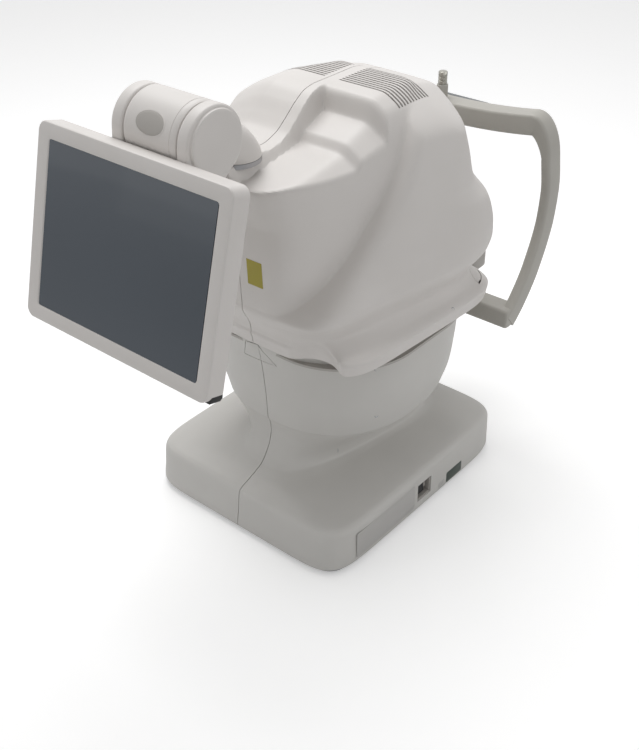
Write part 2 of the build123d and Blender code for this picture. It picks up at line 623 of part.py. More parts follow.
top_bar = Pos(0, BAR_Y, 0) * extrude(Plane.XZ * make_face(bar_edge), BAR_D, dir=(0, 1, 0))
frame = low_bar + top_bar + posts[0] + posts[1]
frame += block(-60, 60, 143, LOW_BAR_Y - LOW_BAR_D / 2, LOW_BAR_Z, LOW_BAR_Z + LOW_BAR_H)
add("headrest_frame", frame)
add("forehead_pad", block(-60, 60, BAR_Y + BAR_D, BAR_Y + BAR_D + 9, BAR_Z + 5, BAR_Z + BAR_H - 2))
PIN_BASE_Z = BAR_Z + BAR_H
pin_y = BAR_Y + 9
add("post_sleeve", rod_z(0, pin_y, PIN_BASE_Z + 0.1, PIN_BASE_Z + 17, 7))
add("post_pin", rod_z(0, pin_y, PIN_BASE_Z + 17, PIN_BASE_Z + 33, 5.5))

# ================================================================= chin rest
chin_low = LOW_BAR_Z + LOW_BAR_H
CUP_Z = chin_low - 11     # underside of the cup with the chin rest at its lowest
CUP_H = 23.0
CUP_W = 120.0
CUP_D = 52.0
housing_top = CUP_Z - 2
housing_low = LOW_BAR_Z - 55
housing = block(-30, 30, LOW_BAR_Y + LOW_BAR_D / 2, CHIN_Y + 18, housing_low, housing_top)
housing = fillet(housing.edges().filter_by(Axis.Z), 8)
housing -= rod_z(0, CHIN_Y, housing_low + 4, housing_top + 1, CHIN_ROD_R + RUN)
add("chinrest_housing", housing)
add("chinrest_rod", rod_z(0, CHIN_Y, housing_low + 5, CUP_Z + 4, CHIN_ROD_R))
cup = Pos(0, CHIN_Y + 6, CUP_Z + CUP_H / 2) * Box(CUP_W, CUP_D, CUP_H)
cup = fillet(cup.edges().filter_by(Axis.Z), 20)
cup -= Pos(0, CHIN_Y + 10, CUP_Z + 60) * Rot(90, 0, 0) * Cylinder(50, 90)
cup -= rod_z(0, CHIN_Y, CUP_Z - 1, CUP_Z + 4, CHIN_ROD_R)
for s in (-1, 1):
    cup += rod_z(s * 50, CHIN_Y - 8, CUP_Z + CUP_H - 1, CUP_Z + CUP_H + 8, 2)
add("chinrest_cup", cup)

# ================================================================= blank plates and fasteners
PLATES = ((-135.0, -22.0, 12.0, 48.0), (29.0, 42.0, 8.0, 19.0), (46.0, 80.0, 9.0, 25.0))
PLATE_THICK = 0.6
add("rating_plate", *[block(wall_x, wall_x + PLATE_THICK, *limits) for limits in PLATES])
floor_screws = [rod_z(x, y, plate_top, plate_top + 3, 5) for x in (-54, 54) for y in (-72, 72)]
add("floor_screws", *floor_screws)

# ================================================================= move to the footprint's middle
everything = Compound([s for group in nodes.values() for s in group])
box = everything.bounding_box()
shift = Pos(0, -(box.min.Y + box.max.Y) / 2, 0)
print("shift y", shift.position.Y, "size", box.size)
for name, solids in nodes.items():
    moved = [shift * s for s in solids]
    export_step(moved[0] if len(moved) == 1 else Compound(moved), f"parts/{name}.step")
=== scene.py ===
# %% [markdown]
# # A table-top retinal imaging unit
# The unit has a base and a pedestal, a moulded head that a motor moves over it, a touch monitor
# on a tilting arm, and a head rest for the patient. The CAD model gives every size, body and
# joint. This file gives the parts their moulded shapes and finishes, one step in each cell.

import math

import bmesh
import bpy
import numpy as np
from mathutils import Matrix, Vector


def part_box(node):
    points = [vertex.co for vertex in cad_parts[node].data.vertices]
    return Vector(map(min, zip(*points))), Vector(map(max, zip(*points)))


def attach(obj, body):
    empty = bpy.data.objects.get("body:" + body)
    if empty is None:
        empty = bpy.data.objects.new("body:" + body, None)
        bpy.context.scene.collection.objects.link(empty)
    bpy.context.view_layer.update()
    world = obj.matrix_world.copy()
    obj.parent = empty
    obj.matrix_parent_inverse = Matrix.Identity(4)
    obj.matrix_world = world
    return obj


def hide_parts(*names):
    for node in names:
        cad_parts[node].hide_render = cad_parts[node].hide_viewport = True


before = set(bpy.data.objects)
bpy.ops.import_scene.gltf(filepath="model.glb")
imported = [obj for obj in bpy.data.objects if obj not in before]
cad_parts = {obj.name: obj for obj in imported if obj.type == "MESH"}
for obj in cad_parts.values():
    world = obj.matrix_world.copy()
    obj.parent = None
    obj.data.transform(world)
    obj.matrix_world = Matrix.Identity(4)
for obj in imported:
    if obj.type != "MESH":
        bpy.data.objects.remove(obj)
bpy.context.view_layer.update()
MM = 0.001
BASE_REAR = -178.0
# shapes are worked out in millimetres about the middle of the base; OFFSET_Y takes them to the frame
OFFSET_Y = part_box("base_plate")[0][1] / MM - (BASE_REAR + 5.0)

# %% [markdown]
# ## Camera
# A camera that stands to the operator's right and looks down shows the screen, the stepped top
# of the head and one side at once. A lens near 50 mm keeps the base from spreading too much.

# %% Camera
LENS_MM, SENSOR_MM = 52.68576, 36.0
PITCH, ROLL = math.radians(34.0808), math.radians(-0.5946)
ahead = Vector((-0.64655, 0.76287, 0.0)).normalized()
level = Vector((ahead.y, -ahead.x, 0.0))
forward = ahead * math.cos(PITCH) - Vector((0, 0, math.sin(PITCH)))
rise = ahead * math.sin(PITCH) + Vector((0, 0, math.cos(PITCH)))
axis_x = level * math.cos(ROLL) + rise * math.sin(ROLL)
axis_y = rise * math.cos(ROLL) - level * math.sin(ROLL)
camera = bpy.data.objects.new("camera", bpy.data.cameras.new("camera"))
bpy.context.scene.collection.objects.link(camera)
place = Matrix((axis_x, axis_y, -forward)).transposed().to_4x4()
place.translation = (0.72433, -0.87633 + OFFSET_Y * MM, 0.9030)
camera.matrix_world = place
camera.data.lens = LENS_MM
camera.data.sensor_width = SENSOR_MM
camera.data.clip_start = 0.01
bpy.context.scene.camera = camera
print("lens", round(camera.data.lens, 2), "mm")

# %% [markdown]
# ## Finishes
# Nearly everything that shows is injection-moulded ABS with a spark-eroded texture. It is matt,
# scatters light evenly and is never one flat colour: the shade drifts a little over the hand's
# breadth, and fine grains catch the light. Both come from noise on Object coordinates, so they
# stay still on the part.


# %% Colours and nodes
def colour(code):
    """Linear colour of an sRGB hex value: the standard curve, channel by channel."""
    values = [int(code[i:i + 2], 16) / 255 for i in (1, 3, 5)]
    return [v / 12.92 if v <= 0.04045 else ((v + 0.055) / 1.055) ** 2.4 for v in values] + [1.0]


def add_node(tree, kind, settings=None, links=None):
    """Adds a node, gives its inputs or properties their values, and links inputs to outputs."""
    node = tree.nodes.new(kind)
    for key, value in (settings or {}).items():
        if key in node.inputs:
            node.inputs[key].default_value = value
        else:
            setattr(node, key, value)
    for key, output in (links or {}).items():
        tree.links.new(output, node.inputs[key])
    return node


def surface(name, settings):
    """A new material with one Principled shader; returns material, tree and shader."""
    material = bpy.data.materials.new(name)
    material.use_nodes = True
    tree = material.node_tree
    tree.nodes.clear()
    shader = add_node(tree, "ShaderNodeBsdfPrincipled", settings)
    add_node(tree, "ShaderNodeOutputMaterial", links={"Surface": shader.outputs[0]})
    return material, tree, shader


def noise(tree, where, size_mm, detail):
    """Noise with features of a size, on Object coordinates."""
    settings = {"Scale": 1 / (size_mm * MM), "Detail": detail}
    return add_node(tree, "ShaderNodeTexNoise", settings, {"Vector": where})


def grained(name, code, drift, roughness, grain_mm, height_mm, settings=None):
    """Moulded or cast stuff: two shades drift over 60 mm, and grains of grain_mm stand height_mm."""
    material, tree, shader = surface(name, settings or {})
    where = add_node(tree, "ShaderNodeTexCoord").outputs["Object"]
    cloud = noise(tree, where, 60, 3.0)
    grain = noise(tree, where, grain_mm, 2.0)
    shade = add_node(tree, "ShaderNodeMix", {"data_type": "RGBA"})
    shade.inputs[6].default_value = colour(code)
    shade.inputs[7].default_value = colour(drift)
    tree.links.new(cloud.outputs["Fac"], shade.inputs[0])
    tree.links.new(shade.outputs[2], shader.inputs["Base Color"])
    gloss = add_node(
        tree, "ShaderNodeMapRange",
        {"To Min": roughness - 0.06, "To Max": roughness + 0.06}, {"Value": grain.outputs["Fac"]},
    )
    tree.links.new(gloss.outputs[0], shader.inputs["Roughness"])
    bump = add_node(
        tree, "ShaderNodeBump", {"Strength": 0.35, "Distance": height_mm * MM},
        {"Height": grain.outputs["Fac"]},
    )
    tree.links.new(bump.outputs[0], shader.inputs["Normal"])
    return material


# %% The finishes of this unit
# ABS, spark-eroded mould: matt, warm white; grains are 0.4 mm and drawn at 1.2 mm to show
shell_white = grained("abs_moulded_warm_white", "#dedad7", "#d7d3cf", 0.44, 1.2, 0.10)
# the same warm white ABS with shade painted in, a shade greyer: for the base, the pedestal under the head and
# the monitor's rear cover
shell_white_painted_shade = grained("abs_moulded_warm_white_painted_shade", "#d2d0cc", "#cac8c4", 0.44, 1.2, 0.10)
# polyurethane structural foam, painted: satin, grey beige
rest_beige = grained("painted_foam_grey_beige", "#b6b3ac", "#aeaba4", 0.42, 1.6, 0.08)
# POM, moulded: slightly glossy mid grey
cap_grey = grained("pom_moulded_grey", "#b4b0ab", "#aca8a3", 0.38, 1.0, 0.05)
# ABS, black, fine texture
black_abs = grained("abs_moulded_black", "#1b1b1c", "#222223", 0.5, 1.0, 0.08)
# nitrile rubber: dull black
rubber_black = grained("nitrile_rubber_black", "#181818", "#202020", 0.8, 0.9, 0.10)
# silicone pad: soft grey with a sheen
pad_grey = grained("silicone_pad_grey", "#6f7274", "#66696b", 0.6, 1.0, 0.06, {"Sheen Weight": 0.15})
# ground steel: bright with fine scratches
steel = grained("steel_ground", "#a9a9ab", "#9c9c9f", 0.3, 0.7, 0.02, {"Metallic": 1.0})
# cast and milled aluminium
alu = grained("aluminium_milled", "#b7b9bb", "#abadb0", 0.38, 0.8, 0.02, {"Metallic": 1.0})
# nickel-chrome plate: mirror with faint haze
chrome = grained("nickel_chrome_plate", "#b5b2aa", "#a9a69e", 0.16, 2.0, 0.01, {"Metallic": 1.0})
# stove enamel on motors
enamel = grained("stove_enamel_black", "#26272a", "#2d2e31", 0.35, 1.5, 0.04)
# solder-masked circuit board
board = grained("solder_mask_green", "#1f4a33", "#255339", 0.35, 2.5, 0.05)
# anodised aluminium of the optics boxes
anodised = grained("anodised_aluminium_graphite", "#4a4c50", "#424448", 0.42, 0.8, 0.03, {"Metallic": 0.8})
# printed polyester film, blank: pale, dark green and yellow
film_pale = grained("polyester_film_silver", "#c3c1be", "#bbb9b6", 0.35, 1.5, 0.01)
film_green = grained("polyester_film_dark_green", "#3b463f", "#414c45", 0.35, 1.5, 0.01)
film_yellow = grained("polyester_film_ochre", "#a89c2e", "#a0942a", 0.4, 1.5, 0.01)
print(len(bpy.data.materials), "materials")


# %% [markdown]
# Glass needs no grain. The panel is a dark coated pane: the picture layer behind it gives the
# blue-grey, and the coat gives the reflection. The lens is clear with a tinted coating.

# %% Glass
def pane(name, code, edge_code, roughness):
    """Dark pane: the colour drifts from one shade to the other over 250 mm; the coat reflects."""
    coated = {"Roughness": roughness, "Coat Weight": 0.35, "Coat Roughness": 0.05}
    material, tree, shader = surface(name, coated)
    where = add_node(tree, "ShaderNodeTexCoord").outputs["Object"]
    cloud = noise(tree, where, 250, 1.0)
    shade = add_node(tree, "ShaderNodeMix", {"data_type": "RGBA"})
    shade.inputs[6].default_value = colour(code)
    shade.inputs[7].default_value = colour(edge_code)
    tree.links.new(cloud.outputs["Fac"], shade.inputs[0])
    tree.links.new(shade.outputs[2], shader.inputs["Base Color"])
    return material


screen_glass = pane("hardened_glass_over_lcd", "#3d464f", "#4a525c", 0.22)
lens_glass = surface(
    "optical_glass_coated",
    {"Base Color": colour("#cfd8ea"), "Roughness": 0.03, "Transmission Weight": 0.85, "IOR": 1.52,
     "Coat Weight": 0.5, "Coat Tint": colour("#9fb4e8")},
)[0]
print("glass", screen_glass.name, lens_glass.name)

# %% [markdown]
# ## Floor and light
# A pale plain floor and a bright surround give the soft, nearly shadowless light of a product
# table. One broad lamp hangs over the unit, so its top is brightest; two weak ones fill from the
# operator's side and from the right.

# %% Stage, lamps and world
paper = {"Base Color": colour("#f1f1f1"), "Roughness": 0.8}
floor_material, tree, shader = surface("floor_paper_white", paper)
where = add_node(tree, "ShaderNodeTexCoord").outputs["Object"]
fibre = add_node(tree, "ShaderNodeTexNoise", {"Scale": 1 / (4 * MM)}, {"Vector": where})
bump = add_node(
    tree, "ShaderNodeBump", {"Strength": 0.05, "Distance": 0.1 * MM}, {"Height": fibre.outputs["Fac"]}
)
tree.links.new(bump.outputs[0], shader.inputs["Normal"])
# the floor shows a little brighter to the camera than it lights the unit, so it stays pale
glow = add_node(tree, "ShaderNodeEmission", {"Color": colour("#ffffff"), "Strength": 0.34})
eye = add_node(tree, "ShaderNodeLightPath")
dark = add_node(tree, "ShaderNodeEmission", {"Color": colour("#000000"), "Strength": 0.0})
lift = add_node(
    tree, "ShaderNodeMixShader", {},
    {0: eye.outputs["Is Camera Ray"], 1: dark.outputs[0], 2: glow.outputs[0]},
)
both_lights = add_node(tree, "ShaderNodeAddShader", {}, {0: shader.outputs[0], 1: lift.outputs[0]})
output = next(node for node in tree.nodes if node.type == "OUTPUT_MATERIAL")
tree.links.new(both_lights.outputs[0], output.inputs["Surface"])
FLOOR_HALF = 6.0
floor_mesh = bpy.data.meshes.new("floor")
floor_corners = [(sx * FLOOR_HALF, sy * FLOOR_HALF, 0) for sx, sy in ((-1, -1), (1, -1), (1, 1), (-1, 1))]
floor_mesh.from_pydata(floor_corners, [], [(0, 1, 2, 3)])
floor = bpy.data.objects.new("floor", floor_mesh)
bpy.context.scene.collection.objects.link(floor)
floor.data.materials.append(floor_material)


def lamp(name, power, size, at, look=(0, 0, 0.25)):
    """A square area lamp that looks at a point."""
    light = bpy.data.lights.new(name, "AREA")
    light.energy = power
    light.size = size
    body = bpy.data.objects.new(name, light)
    bpy.context.scene.collection.objects.link(body)
    body.location = at
    body.rotation_euler = (Vector(look) - Vector(at)).to_track_quat("-Z", "Y").to_euler()


lamp("overhead", 16, 1.1, (-0.5, 0.3, 1.8))
lamp("operator_fill", 1.5, 1.3, (-0.9, -1.9, 0.9))
lamp("side_fill", 3, 1.2, (1.7, 0.9, 0.9))
world = bpy.data.worlds.new("surround")
bpy.context.scene.world = world
world.use_nodes = True
tree = world.node_tree
tree.nodes.clear()
path = add_node(tree, "ShaderNodeLightPath")
seen = add_node(
    tree, "ShaderNodeMath", {"operation": "MAXIMUM"},
    {0: path.outputs["Is Camera Ray"], 1: path.outputs["Is Glossy Ray"]},
)
seen = add_node(
    tree, "ShaderNodeMath", {"operation": "MAXIMUM"},
    {0: seen.outputs[0], 1: path.outputs["Is Transmission Ray"]},
)
ambient = add_node(tree, "ShaderNodeBackground", {"Color": colour("#f6f6f6"), "Strength": 0.50})
backdrop = add_node(tree, "ShaderNodeBackground", {"Color": colour("#fbfbfb"), "Strength": 1.0})
mix = add_node(
    tree, "ShaderNodeMixShader", {},
    {0: seen.outputs[0], 1: ambient.outputs[0], 2: backdrop.outputs[0]},
)
add_node(tree, "ShaderNodeOutputWorld", links={"Surface": mix.outputs[0]})
bpy.context.scene.view_settings.view_transform = "Standard"

# %% [markdown]
# ## Tools for surfaces
# Every new piece is a grid of points that a formula gives as one array. These helpers turn a
# grid into a mesh, close it, give it a wall, cut it, and hand it to its body.


# %% Meshes from arrays
def sheet_faces(rows, cols, wrap):
    """Quads between neighbouring rows and columns; wrap joins the last column to the first."""
    index = np.arange(rows * cols).reshape(rows, cols)
    right = np.roll(index, -1, axis=1) if wrap else index[:, 1:]
    left = index if wrap else index[:, :-1]
    return np.stack([left[:-1], right[:-1], right[1:], left[1:]], axis=-1).reshape(-1, 4)


def build(name, points, faces, caps=()):
    """Mesh object from points in millimetres about the base's middle; caps are extra polygons."""
    flat = np.asarray(points, float).reshape(-1, 3).copy()
    flat[:, 1] += OFFSET_Y
    mesh = bpy.data.meshes.new(name)
    polygons = [list(map(int, face)) for face in (*faces, *caps)]
    mesh.from_pydata((flat * MM).tolist(), [], polygons)
    mesh.validate()
    piece = bpy.data.objects.new(name, mesh)
    bpy.context.scene.collection.objects.link(piece)
    return piece


def face_outwards(work):
    """Turns the faces one way, then all of them over if most look at the unit's middle."""
    bmesh.ops.recalc_face_normals(work, faces=work.faces)
    middle = sum((v.co for v in work.verts), Vector()) / len(work.verts)
    middle.x *= 0.2
    lean = sum(f.calc_area() * f.normal.dot(f.calc_center_median() - middle) for f in work.faces)
    if lean < 0:
        bmesh.ops.reverse_faces(work, faces=work.faces)


def tidy_mesh(piece, merge_mm=0.02, crease_degrees=32.0):
    """Merges doubles, turns the faces outwards and keeps edges sharper than a limit crisp."""
    work = bmesh.new()
    work.from_mesh(piece.data)
    bmesh.ops.remove_doubles(work, verts=work.verts, dist=merge_mm * MM)
    bmesh.ops.dissolve_degenerate(work, edges=work.edges, dist=0.001 * MM)
    face_outwards(work)
    work.to_mesh(piece.data)
    work.free()
    piece.data.shade_smooth()
    piece.data.set_sharp_from_angle(angle=math.radians(crease_degrees))
    return piece


def apply_modifiers(piece, crease_degrees=32.0):
    """Replaces the mesh by the one that the modifiers give."""
    shaped = piece.evaluated_get(bpy.context.evaluated_depsgraph_get())
    mesh = bpy.data.meshes.new_from_object(shaped)
    piece.modifiers.clear()
    piece.data = mesh
    piece.data.shade_smooth()
    piece.data.set_sharp_from_angle(angle=math.radians(crease_degrees))
    return piece


def wall(piece, thickness_mm):
    """Gives an open skin a wall on its inner side."""
    solid = piece.modifiers.new("wall", "SOLIDIFY")
    solid.thickness = thickness_mm * MM
    solid.offset = -1.0
    solid.use_rim = True
    return apply_modifiers(piece)


def soften(piece, width_mm, segments=3, angle=35.0):
    """Rounds the edges that are sharper than an angle."""
    bevel = piece.modifiers.new("round", "BEVEL")
    bevel.width = width_mm * MM
    bevel.segments = segments
    bevel.limit_method = "ANGLE"
    bevel.angle_limit = math.radians(angle)
    return apply_modifiers(piece, 40.0)


def cut(piece, tool, operation="DIFFERENCE", solver="EXACT"):
    """Takes a tool out of a piece, or keeps what both share."""
    knife = piece.modifiers.new("cut", "BOOLEAN")
    knife.operation = operation
    knife.solver = solver
    knife.object = tool
    return apply_modifiers(piece)


def discard(*pieces):
    for piece in pieces:
        bpy.data.objects.remove(piece)


def fit(piece, body, material, slot, *nodes):
    """Dresses a finished piece, puts it on its body and hides the CAD nodes that it stands for."""
    piece.data.materials.clear()
    piece.data.materials.append(material)
    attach(piece, body)
    if nodes:
        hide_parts(*nodes)
    return piece


def block(name, x0, x1, y0, y1, z0, z1):
    """Box between two corners, as a grid of two rings with caps."""
    ring = np.array([(x0, y0), (x1, y0), (x1, y1), (x0, y1)], float)
    points = [np.column_stack([ring, np.full(4, z)]) for z in (z0, z1)]
    return tidy_mesh(build(name, points, sheet_faces(2, 4, True), [(3, 2, 1, 0), (4, 5, 6, 7)]))


def stack(name, rings):
    """Closed solid through closed rings of points, with a flat polygon over each end."""
    rows, cols = rings.shape[:2]
    first = list(range(cols))[::-1]
    last = [(rows - 1) * cols + i for i in range(cols)]
    return tidy_mesh(build(name, rings, sheet_faces(rows, cols, True), [first, last]))


def spun(name, profile, origin, direction, steps=96):
    """Profile of (distance along the axis, radius) turned round the axis from origin."""
    along, radius = np.asarray(profile, float).T[:, :, None]
    axis = np.asarray(direction, float) / np.linalg.norm(direction)
    side = np.cross(axis, (0.0, 0.0, 1.0) if abs(axis[2]) < 0.9 else (1.0, 0.0, 0.0))
    side /= np.linalg.norm(side)
    other = np.cross(axis, side)
    turn = np.linspace(0, 2 * np.pi, steps, endpoint=False)[None, :]
    points = (
        np.asarray(origin, float) + along[..., None] * axis
        + (radius * np.cos(turn))[..., None] * side + (radius * np.sin(turn))[..., None] * other
    )
    return stack(name, points)


def smooth(keys, values, at):
    """Curve through key values: cubics whose slope at a key is the harmonic mean of its chords'."""
    keys, values, at = (np.asarray(a, float) for a in (keys, values, at))
    gap = np.diff(keys)
    chord = np.diff(values) / gap
    same = chord[1:] * chord[:-1] > 0
    total = np.where(same, chord[1:] + chord[:-1], 1.0)
    middle = np.where(same, 2 * chord[1:] * chord[:-1] / total, 0.0)
    slope = np.concatenate([chord[:1], middle, chord[-1:]])
    i = np.clip(np.searchsorted(keys, at) - 1, 0, len(gap) - 1)
    t = np.clip((at - keys[i]) / gap[i], 0, 1)
    return (
        values[i] * (1 + 2 * t) * (1 - t) ** 2 + slope[i] * gap[i] * t * (1 - t) ** 2
        + values[i + 1] * t * t * (3 - 2 * t) - slope[i + 1] * gap[i] * t * t * (1 - t)
    )


def smooth_table(table, at):
    """Every column of a table after the first, smoothed over the first."""
    table = np.asarray(table, float)
    return [smooth(table[:, 0], table[:, c], at) for c in range(1, table.shape[1])]


print("helpers ready")

# %% [markdown]
# ## The head
# The head is a moulding with two forms in one: a wide ball-like front that holds the optics, and
# a narrower hood behind it that carries the monitor arm. Where the two meet, a soft valley runs
# from the top down to the rear corner. Such a form is easiest to describe as a field: a number
# that is negative inside and positive outside. The two forms are joined with a smooth minimum,
# and the skin is found along rays from a point inside, by halving.

# %% Sections of the head
WALL_MM = 3.0
SEAM_HALF = 0.45
# height, half width, rear width as a share of the front's, rear, front, squareness before and behind
BALL = [
    (240, 150, 0.90, -134, 143, 5.5, 7), (256, 153.5, 0.90, -136, 145, 5.5, 7),
    (263, 154.5, 0.90, -138, 146, 5.5, 7), (266.5, 152, 0.89, -137, 144.5, 5.2, 7),
    (272, 145, 0.85, -137, 141, 4.6, 6), (282, 142, 0.77, -140, 140, 4.0, 5),
    (293, 149, 0.71, -146, 144, 3.5, 6), (301, 158, 0.68, -148, 146, 3.3, 8),
    (312, 169, 0.66, -138, 149, 3.1, 11), (320, 176, 0.63, -126, 151, 3.0, 12),
    (336, 181, 0.60, -104, 152, 2.9, 13), (348, 181, 0.61, -91, 151.5, 2.8, 13),
    (370, 177, 0.64, -72, 147, 2.7, 13), (385, 172, 0.68, -63, 141, 2.6, 13),
    (398, 163, 0.74, -54, 134, 2.4, 13), (410, 155, 0.79, -46, 128, 2.3, 12),
    (440, 146, 0.86, -28, 118, 2.3, 11), (470, 136, 0.90, -12, 108, 2.3, 10),
    (500, 122, 0.94, 8, 100, 2.2, 9), (530, 104, 1.0, 30, 92, 2.2, 9),
]
HOOD = [
    (240, 118, 0.46, -132, 60, 4, 7), (275, 124, 0.46, -138, 60, 4, 7),
    (300, 130, 0.46, -149, 60, 4, 7), (350, 133, 0.47, -151, 60, 4, 7),
    (400, 132, 0.49, -153, 60, 4, 6), (430, 127, 0.54, -163, 60, 4, 5),
    (452, 122, 0.60, -174, 60, 4, 4.2), (460, 120, 0.62, -176.5, 60, 4, 4.0),
    (475, 115, 0.66, -177, 60, 4, 4.0), (490, 108, 0.72, -177, 60, 4, 4.0),
    (505, 98, 0.78, -177, 60, 4, 4.0), (530, 80, 0.84, -177, 60, 4, 4.0),
]
# the crown along the middle seam, and the steps on its right half: y and height
SPINE = [
    (-190, 473), (-146, 474.6), (-108, 473.5), (-88, 479), (-72, 490), (-56, 503), (-40, 512),
    (-24, 514.5), (38, 514.5), (79, 505), (101, 499), (140, 486),
]
STEPS = [
    (-190, 454), (-80, 468.5), (-73, 470), (-64, 479), (-59, 481), (-37, 489), (-31, 491),
    (-24, 510), (-19, 513.5), (0, 514.5), (38, 514.5), (79, 505), (101, 499), (140, 486),
]
print(len(BALL), "sections of the ball,", len(HOOD), "of the hood")


# %% The head's field
def soft_max(a, b, radius):
    """The larger of two fields, with their meeting edge rounded over a radius."""
    share = np.clip(0.5 + 0.5 * (a - b) / radius, 0, 1)
    return b + (a - b) * share + radius * share * (1 - share)


def section_field(x, y, z, table):
    """Millimetres outside a superellipse plan, whose half width grows evenly to the front."""
    half, share, rear, front, power_front, power_rear = smooth_table(table, z)
    middle, depth = (rear + front) / 2, (front - rear) / 2
    along = (y - middle) / depth
    power = np.where(along > 0, power_front, power_rear)
    width = half * (share + (1 - share) * (0.5 + 0.5 * np.clip(along, -1, 1)))
    radial = ((np.abs(x) / width) ** power + np.abs(along) ** power) ** (1 / power)
    return (radial - 1) * np.minimum(width, depth)


def fall_off(x, y):
    """How far the crown has dropped at a distance from the seam, more slowly on the right."""
    right = 0.62 * np.logaddexp(0, (x - 74) / 3) * 3
    forward_share = np.clip((y - 5) / 35, 0, 1)
    left = np.maximum(-x - 40 + 16 * forward_share, 0) ** 1.5 / (16 - 2 * forward_share)
    return np.where(x > 0, right, left)


def front_crown(x, y):
    """Height of the ball's top, which slopes down evenly towards the patient."""
    return 513 - fall_off(x, y) - 0.27 * np.logaddexp(0, (y - 44) / 6) * 6


def crown_height(x, y):
    """Height of the hood's top: the seam's profile on the left, stepped on the right."""
    spine = smooth(*np.array(SPINE).T, y)
    steps = smooth(*np.array(STEPS).T, y)
    ridge = smooth([-178, -60, -20], [17, 12, 9], y)
    mix = np.clip((x - ridge) / 7, 0, 1)
    mix = mix * mix * (3 - 2 * mix)
    return np.where(x > 0, spine * (1 - mix) + steps * mix, spine) - fall_off(x, y)


def scoop_field(x, y, z):
    """Hollow in each rear corner above the rim: an ellipsoid, negative inside."""
    radial = ((np.abs(x) - 90) / 40) ** 2 + ((y + 158) / 44) ** 2 + ((z - 240) / 52) ** 2
    return (np.sqrt(radial) - 1) * 40


def head_field(x, y, z):
    """Smooth join of ball and hood, each with its own top, less the two rear hollows."""
    ball = soft_max(section_field(x, y, z, BALL), z - front_crown(x, y), 10)
    hood = soft_max(section_field(x, y, z, HOOD), z - crown_height(x, y), 3.5)
    joined = -soft_max(-ball, -hood, 3)
    return soft_max(joined, -scoop_field(x, y, z), 8)


def along_rays(field, centre, direction, near, far, steps=26):
    """Distance at which each ray leaves the field's inside, by halving."""
    low = np.full(direction.shape[:-1], float(near))
    high = np.full(direction.shape[:-1], float(far))
    for _ in range(steps):
        middle = (low + high) / 2
        x, y, z = np.moveaxis(centre + middle[..., None] * direction, -1, 0)
        outside = field(x, y, z) > 0
        high = np.where(outside, middle, high)
        low = np.where(outside, low, middle)
    return (low + high) / 2


print("field at the middle", float(head_field(np.array(0.0), np.array(0.0), np.array(300.0))))

# %% [markdown]
# Rays start at one point inside. Their azimuth runs over half a turn, so the seam between the
# left and right covers is exact, and their elevation runs from the rim up to the crown.


# %% Skin of the head
HEAD_Z = 248.6
CENTRE = np.array([0.0, 0.0, 300.0])


def head_skin(side, cols=186, rows=216):
    """Half of the head's skin as a grid: first the rim at one height, then up to the crown."""
    turn = np.linspace(-np.pi / 2, np.pi / 2, cols)
    flat = np.stack([side * np.cos(turn), np.sin(turn), np.zeros(cols)], axis=-1)
    rim_centre = np.array([0.0, 0.0, HEAD_Z])
    rim_radius = along_rays(head_field, rim_centre, flat, 20, 260)
    lowest = np.arctan2(HEAD_Z - CENTRE[2], rim_radius)
    share = np.linspace(0, 1, rows)[:, None]
    share = share * 0.8 + 0.2 * share ** 1.5
    tilt = lowest + (np.pi / 2 - lowest) * share
    direction = np.stack(
        [np.cos(tilt) * flat[:, 0], np.cos(tilt) * flat[:, 1], np.sin(tilt)], axis=-1
    )
    reach = along_rays(head_field, CENTRE, direction, 5, 320)
    # a ray that grazes the crease can stop early: it takes its neighbours' distance
    around = np.median([np.roll(reach, step, axis) for step in (-2, -1, 1, 2) for axis in (0, 1)], axis=0)
    reach = np.where(np.abs(reach - around) > 5, around, reach)
    skin = CENTRE + reach[..., None] * direction
    # a flange turned in under the rim
    flange = skin[:1] * [1, 1, 0] * np.linspace(0.66, 0.995, 7)[:, None, None] + [0, 0, HEAD_Z]
    flange[-1, :, 2] = skin[0, :, 2]
    skin = np.concatenate([flange, skin])
    skin[..., 0] += side * SEAM_HALF
    return skin if side > 0 else skin[:, ::-1]


skins = {side: head_skin(side) for side in (-1, 1)}
print("head spans", skins[1].reshape(-1, 3).min(0).round(1), skins[1].reshape(-1, 3).max(0).round(1))

# %% [markdown]
# The front cover is a separate moulding. The skin is cut along three planes with a hair's gap,
# and each part then gets its own wall.


# %% Covers of the head
SPLIT_Y, SPLIT_TOP, SPLIT_LOW, GAP = 104.0, 420.0, 269.0, 0.5


def joined(name, halves):
    """One piece from two halves, welded along the middle seam."""
    work = bmesh.new()
    for part in halves:
        work.from_mesh(part.data)
    bmesh.ops.remove_doubles(work, verts=work.verts, dist=3 * SEAM_HALF * MM)
    face_outwards(work)
    mesh = bpy.data.meshes.new(name)
    work.to_mesh(mesh)
    work.free()
    discard(*halves)
    piece = bpy.data.objects.new(name, mesh)
    bpy.context.scene.collection.objects.link(piece)
    return piece


def split_skin(piece, keep_front):
    """Cuts the skin along the front cover's planes and keeps one side of them."""
    work = bmesh.new()
    work.from_mesh(piece.data)
    margin = 0.0 if keep_front else GAP
    planes = [
        ((0, (SPLIT_Y - margin + OFFSET_Y) * MM, 0), (0, 1, 0)),
        ((0, 0, (SPLIT_TOP + margin) * MM), (0, 0, 1)),
        ((0, 0, (SPLIT_LOW - margin) * MM), (0, 0, 1)),
    ]
    for point, normal in planes:
        everything = work.verts[:] + work.edges[:] + work.faces[:]
        bmesh.ops.bisect_plane(work, geom=everything, plane_co=point, plane_no=normal)
    front_y, top, low = planes[0][0][1], planes[1][0][2], planes[2][0][2]
    unwanted = []
    for face in work.faces:
        middle = face.calc_center_median()
        in_front = middle.y > front_y and low < middle.z < top
        if in_front != keep_front:
            unwanted.append(face)
    bmesh.ops.delete(work, geom=unwanted, context="FACES")
    work.to_mesh(piece.data)
    work.free()
    return piece


